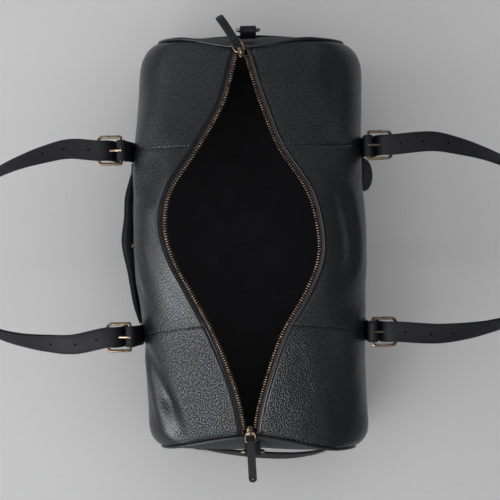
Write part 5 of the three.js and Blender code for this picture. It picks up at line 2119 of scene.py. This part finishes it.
@dataclass
class EndFittings(SubAssembly):
    """What is on each end: a strap across it, and a ring in its leather tab."""

    panels: EndPanels = field(default_factory=EndPanels)
    handle_z: float = 118.0
    handle_wide: float = 22.0
    handle_thick: float = 3.0
    handle_edge: float = 0.9
    handle_corner: float = 5.0
    stitch_rail: float = 3.0
    gap: float = 0.7
    tab_wide: float = 18.0
    tab_ply: float = 1.25
    tab_eye: float = 3.65
    tab_edge: float = 0.35
    tab_join: float = 0.4
    ply_gap: float = 0.06
    wire: float = 3.4
    inner: float = 21.0
    drop: float = 13.0
    shoulder: float = 3.0
    corner: float = 1.6
    straps: Sequence[EndStrap] = (
        EndStrap(End.NEAR, 12.0, 88.0, 5.6, 23.0, 2.6, 1.2),
        EndStrap(End.FAR, 0.0, 78.0, 0.4, 0.0, 1.5, 1.5),
    )
    rings: Sequence[RingSpot] = (
        RingSpot(End.NEAR, -5.0, 233.5, 208.0, ((221.6, 218.4), (226.4, 214.2), (230.4, 210.6))),
        RingSpot(End.FAR, -0.5, 242.0, 212.0, ((234.8, 196.5), (237.1, 203), (239.8, 208.4))),
    )

    def handle(self, spot: EndStrap) -> None:
        """A flat strap sewn down at both its ends."""
        end = spot.end
        share = np.linspace(-1, 1, 70)
        x = spot.x + share * spot.reach
        half = self.handle_wide / 2
        rest = np.max([self.panels.face(end, x, self.handle_z + k * half) for k in (-1, 0, 1)], axis=0)
        tilt = (1 - share ** 2) * math.radians(spot.tilt)
        out = rest + self.gap + self.handle_thick / 2 + spot.bow * spot.free(share) + half * np.sin(tilt)
        path = stack(x, end.value * out, self.handle_z)
        across = stack(0.0, -end.value * np.sin(tilt), np.cos(tilt))
        width = round_ends(path, self.handle_wide, self.handle_corner)
        name = f"end_handle_{end.word}"
        obj = strap("leather_" + name, path, across, width, self.handle_thick, self.handle_edge)
        self.keep(obj, STRAPPING, [name])
        normal = ALONG * end.value
        face = path + normal * self.handle_thick / 2
        rail = UP * (half - self.stitch_rail)
        for word, part in (("left", face[2:16]), ("right", face[-16:-2])):
            low, high = part - rail, part + rail
            rise = np.linspace(low[-1], high[-1], 6)[1:-1]
            fall = np.linspace(high[0], low[0], 6)[1:]
            loop = np.concatenate([low, rise, high[::-1], fall])
            self.sew(f"end_handle_stitching_{end.word}_{word}", loop, normal)

    def tab(self, spot: RingSpot) -> None:
        """A strip folded over the ring's bar, its two plies sewn to the end."""
        line = np.array(spot.path, float) - [spot.reach, spot.z]
        towards = unit(line[-1])
        line = line[np.linalg.norm(line, axis=1) > self.tab_eye + 1]
        line = np.concatenate([line, [towards * (self.tab_eye + self.tab_join)]])
        line = even(centripetal(line, 10), 0.8)
        step = (self.tab_ply + self.ply_gap) / 2
        lift = left_of(line) * step
        heading = math.degrees(math.atan2(towards[1], towards[0]))
        join = math.degrees(math.asin(step / self.tab_eye))
        eye = arc((0, 0), self.tab_eye, heading - join, heading - 360 + join, 20)
        flat = np.concatenate([line + lift, eye, (line - lift)[::-1]])
        path = spot.at(0.0, flat[:, 0], flat[:, 1])
        name = f"ring_tab_{spot.end.word}"
        obj = strap("leather_" + name, path, ACROSS, self.tab_wide, self.tab_ply, self.tab_edge)
        self.keep(obj, STRAPPING, [name])

    def ring(self, spot: RingSpot) -> None:
        """A round wire D with its straight bar in the tab."""
        half = self.inner / 2 + self.wire / 2
        turns = np.linspace(0, math.pi, 29)
        bow = stack(half * np.cos(turns), -self.shoulder - (self.drop - self.shoulder) * np.sin(turns))
        corner = self.corner
        start = arc((-half + corner, -corner), corner, 180, 90, 5)
        stop = arc((half - corner, -corner), corner, 90, 0, 5)
        flat = np.concatenate([bow, start, stop])
        path = spot.at(flat[:, 0], 0.0, flat[:, 1])
        word = spot.end.word
        obj = tube(f"brass_d_ring_{word}", path, ALONG, self.wire / 2, sides=14, closed=True)
        self.keep(obj, BRASS, [f"d_ring_{word}"], f"ring_{word}")

    def build(self) -> None:
        """Builds the fittings of both ends."""
        for strapping in self.straps:
            self.handle(strapping)
        for spot in self.rings:
            self.tab(spot)
            self.ring(spot)


@dataclass(frozen=True)
class Gape:
    """How far the pocket's mouth stands out at a place along the bag."""

    y: float
    out: float


@dataclass(frozen=True)
class Turning:
    """A ring of a turned piece: its radius as a share of the whole, and its height."""

    radius: float
    height: float


@dataclass
class SlipPocket(SubAssembly):
    """The slip pocket on the left wall, with its gaping mouth and the stud inside it."""

    side_gap: float = 13.0
    low: float = 34.0
    top: float = 182.0
    gap: float = 1.5
    flare: float = 6.0
    leather: float = 2.0
    edge: float = 0.8
    rim: float = 0.7
    rim_at: float = 1.6
    rim_reach: float = 1.5
    close_rows: float = 10.0
    stitch_below: float = 5.0
    stitch_dip: float = 0.5
    stitch_reach: float = 0.8
    stitch_inset: float = 2.0
    grain: float = 0.2
    inner_from: float = 0.3
    stud_y: float = 2.0
    stud_z: float = 177.0
    stud_r: float = 4.0
    stud_gap: float = 0.6
    stud: Sequence[Turning] = (
        Turning(0.0, 0.0), Turning(0.5, 0.0), Turning(0.5, 2.4), Turning(0.93, 2.4),
        Turning(1.0, 2.65), Turning(1.0, 3.15), Turning(0.9, 3.45), Turning(0.74, 4.0),
        Turning(0.5, 4.5), Turning(0.25, 4.75), Turning(0.0, 4.82),
    )
    gapes: Sequence[Gape] = (
        Gape(-88, 0), Gape(-69, 4.1), Gape(-29, 7.1), Gape(6.6, 12.0),
        Gape(33, 8.7), Gape(58, 7.4), Gape(78, 2.2), Gape(86, 0),
    )

    def outer(self, y: Points, z: Points) -> Points:
        """Points of the pocket's outer face."""
        rise = np.clip((z - self.low) / (self.top - self.low), 0, 1)
        mouth = centripetal(np.array([(spot.y, spot.out) for spot in self.gapes], float), 10)
        gape = np.interp(y, mouth[:, 0], np.maximum(mouth[:, 1], 0)) * rise ** self.flare
        below = self.top - z
        edge = self.rim * hump(below, self.rim_at, self.rim_reach)
        dip = self.stitch_dip * hump(below, self.stitch_below, self.stitch_reach)
        x = FORM.wall_at(y, Side.LEFT, z) + self.gap + gape + self.leather + edge - dip
        return stack(-x, y, z)

    def build(self) -> None:
        """Builds the pocket, its stitching and the stud."""
        near, far = FORM.seam_near + self.side_gap, FORM.seam_far - self.side_gap
        y = np.linspace(near, far, 80)[:, None]
        close = self.top - self.close_rows
        rows = self.outer(y, stretches((self.low, close, 40), (close, self.top, 22))[None, :])
        obj = surface("leather_pocket_panel", rows)
        face_towards(obj, np.broadcast_to(-ACROSS, rows.shape))
        mark(obj, self.grain, spots(obj, (1, 2)))
        panel = self.keep(thicken(obj, self.leather, -1.0, self.edge), GRAINED, ["pocket_panel"])
        panel.data.materials.append(FLESH.material())
        for face in panel.data.polygons:
            face.material_index = int(face.normal.x > self.inner_from)
        line = np.linspace(near + self.stitch_inset, far - self.stitch_inset, 120)
        path = self.outer(line, np.full_like(line, self.top - self.stitch_below))
        self.sew("pocket_edge_stitching", path, -ACROSS)
        self.turn_stud()

    def turn_stud(self) -> None:
        """A domed brass stud with a turned rim, on its shank."""
        radii = np.array([[ring.radius * self.stud_r] for ring in self.stud])
        heights = np.array([[ring.height] for ring in self.stud])
        turns = np.linspace(0, 2 * math.pi, 28, endpoint=False)
        wall = FORM.wall_at(self.stud_y, Side.LEFT, self.stud_z) + self.stud_gap
        y, z = self.stud_y + radii * np.cos(turns), self.stud_z + radii * np.sin(turns)
        rows = stack(-wall - heights, y, z)
        obj = surface("brass_pocket_stud", rows, wrap=True)
        weld(obj)
        self.keep(smooth(obj, 50), BRASS, ["pocket_stud"])


@dataclass
class SideTab(SubAssembly):
    """The small stitched tab beside the far right buckle."""

    length: float = 38.0
    width: float = 22.0
    tip: float = 1.0
    thick: float = 2.6
    place: Sequence[float] = (131.8, 77.0, 187.0)
    lean: float = 57.0
    stitch_rail: float = 2.6
    stitch_from: float = 8.0

    def build(self) -> None:
        """Builds the tab and its stitching."""
        lean = math.radians(self.lean)
        across = np.array([math.cos(lean), 0.0, -math.sin(lean)])
        normal = np.array([math.sin(lean), 0.0, math.cos(lean)])
        run = np.linspace(self.length / 2, -self.length / 2, 46)
        width = np.maximum(self.width * np.sqrt(np.maximum(1 - (2 * run / self.length) ** 2, 0)), self.tip)
        path = np.array(self.place) + run[:, None] * ALONG - across * (self.width - width)[:, None] / 2
        self.keep(strap("leather_side_tab", path, across, width, self.thick), TRIMMING, ["side_tab"])
        sewn = width > self.stitch_from
        face = path[sewn] + normal * self.thick / 2
        reach = (width[sewn] / 2 - self.stitch_rail)[:, None] * across
        self.sew("side_tab_stitching", np.concatenate([face + reach, (face - reach)[::-1]]), normal)


@dataclass
class Base(SubAssembly):
    """The flat leather bottom, which the frame already holds."""

    node: str = "base_panel"
    grain: float = 0.8

    def build(self) -> None:
        """Gives the bottom its leather."""
        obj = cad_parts[self.node]
        obj.data.materials.clear()
        obj.data.materials.append(GRAINED.material())
        mark(obj, self.grain, spots(obj, (0, 1)))
        LOG.info("%s: kept from the frame", obj.name)


# Studio


@dataclass(frozen=True)
class Lamp:
    """A soft square light: where it is, where it looks, its size and its power."""

    name: str
    place: Sequence[float]
    aim: Sequence[float]
    size: Sequence[float]
    power: float
    mirrored: bool = True
    lighting: bool = True


@dataclass
class Studio:
    """A plain floor, soft lights and the camera over the bag."""

    camera_x: float = -3.4
    camera_y: float = -6.0
    camera_z: float = 1900.0
    camera_turn: float = -1.2
    lens: float = 108.0
    floor: float = 8.0
    world: float = 0.14
    lamps: Sequence[Lamp] = (
        Lamp("key", (-1.25, -1.25, 1.65), (-0.08, -0.12, 0.2), (1.5, 1.5), 17.0),
        Lamp("near_sheen", (-1.24, -1.36, 1.54), (-0.08, -0.17, 0.23), (1.5, 1.5), 36.0, True, False),
        Lamp("low_sheen", (-0.76, -1.28, 1.61), (-0.05, -0.19, 0.22), (0.7, 0.7), 9.0, True, False),
        Lamp("far_sheen", (-1.33, 1.15, 1.1), (-0.08, 0.15, 0.2), (0.9, 0.8), 4.0, True, False),
        Lamp("right_sheen", (0.65, -1.15, 1.75), (0.07, -0.15, 0.2), (0.8, 0.8), 2.2, True, False),
        Lamp("side", (-1.75, 0.0, 1.0), (0.0, 0.0, 0.2), (1.5, 1.0), 12.0),
        Lamp("back", (0.3, 2.0, 1.7), (0.0, 0.1, 0.2), (2.4, 1.2), 9.0),
        Lamp("fill", (0.35, 0.2, 3.0), (0.35, 0.2, 0.0), (3.4, 3.4), 56.0, False),
    )

    def build(self) -> None:
        """Builds the floor, lights and camera."""
        scene = bpy.context.scene
        scene.view_settings.view_transform = "Standard"
        ground = add(bpy.ops.mesh.primitive_plane_add, size=self.floor)
        ground.name = "floor"
        ground.data.materials.append(FLOOR.material())
        for lamp in self.lamps:
            light = bpy.data.lights.new(lamp.name, "AREA")
            light.shape = "RECTANGLE"
            light.size, light.size_y = lamp.size
            light.energy = lamp.power
            holder = bpy.data.objects.new(lamp.name, light)
            scene.collection.objects.link(holder)
            holder.location = lamp.place
            holder.visible_glossy = lamp.mirrored
            holder.visible_diffuse = lamp.lighting
            way = Vector(lamp.aim) - Vector(lamp.place)
            holder.rotation_euler = way.to_track_quat("-Z", "Y").to_euler()
        world = bpy.data.worlds.new("studio")
        world.use_nodes = True
        scene.world = world
        back = world.node_tree.nodes["Background"]
        back.inputs["Color"].default_value = (1.0, 1.0, 1.0, 1.0)
        back.inputs["Strength"].default_value = self.world
        camera = bpy.data.cameras.new("camera")
        camera.lens = self.lens
        holder = bpy.data.objects.new("camera", camera)
        scene.collection.objects.link(holder)
        holder.location = Vector((self.camera_x, self.camera_y, self.camera_z)) * MM
        holder.rotation_euler = (0.0, 0.0, math.radians(self.camera_turn))
        scene.camera = holder


def main() -> None:
    """Builds the studio and the bag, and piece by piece."""
    logging.basicConfig(level=logging.INFO, format="%(name)s %(message)s")
    Studio().build()
    parts = (Base(), BodyPanels(), EndPanels(), Lining(), ZipRun(), ZipPulls(), Buckles(), CarryHandles(),
             EndFittings(), SlipPocket(), SideTab())
    for part in parts:
        LOG.info("building %s", type(part).__name__)
        part.build()


if __name__ == "__main__":
    main()
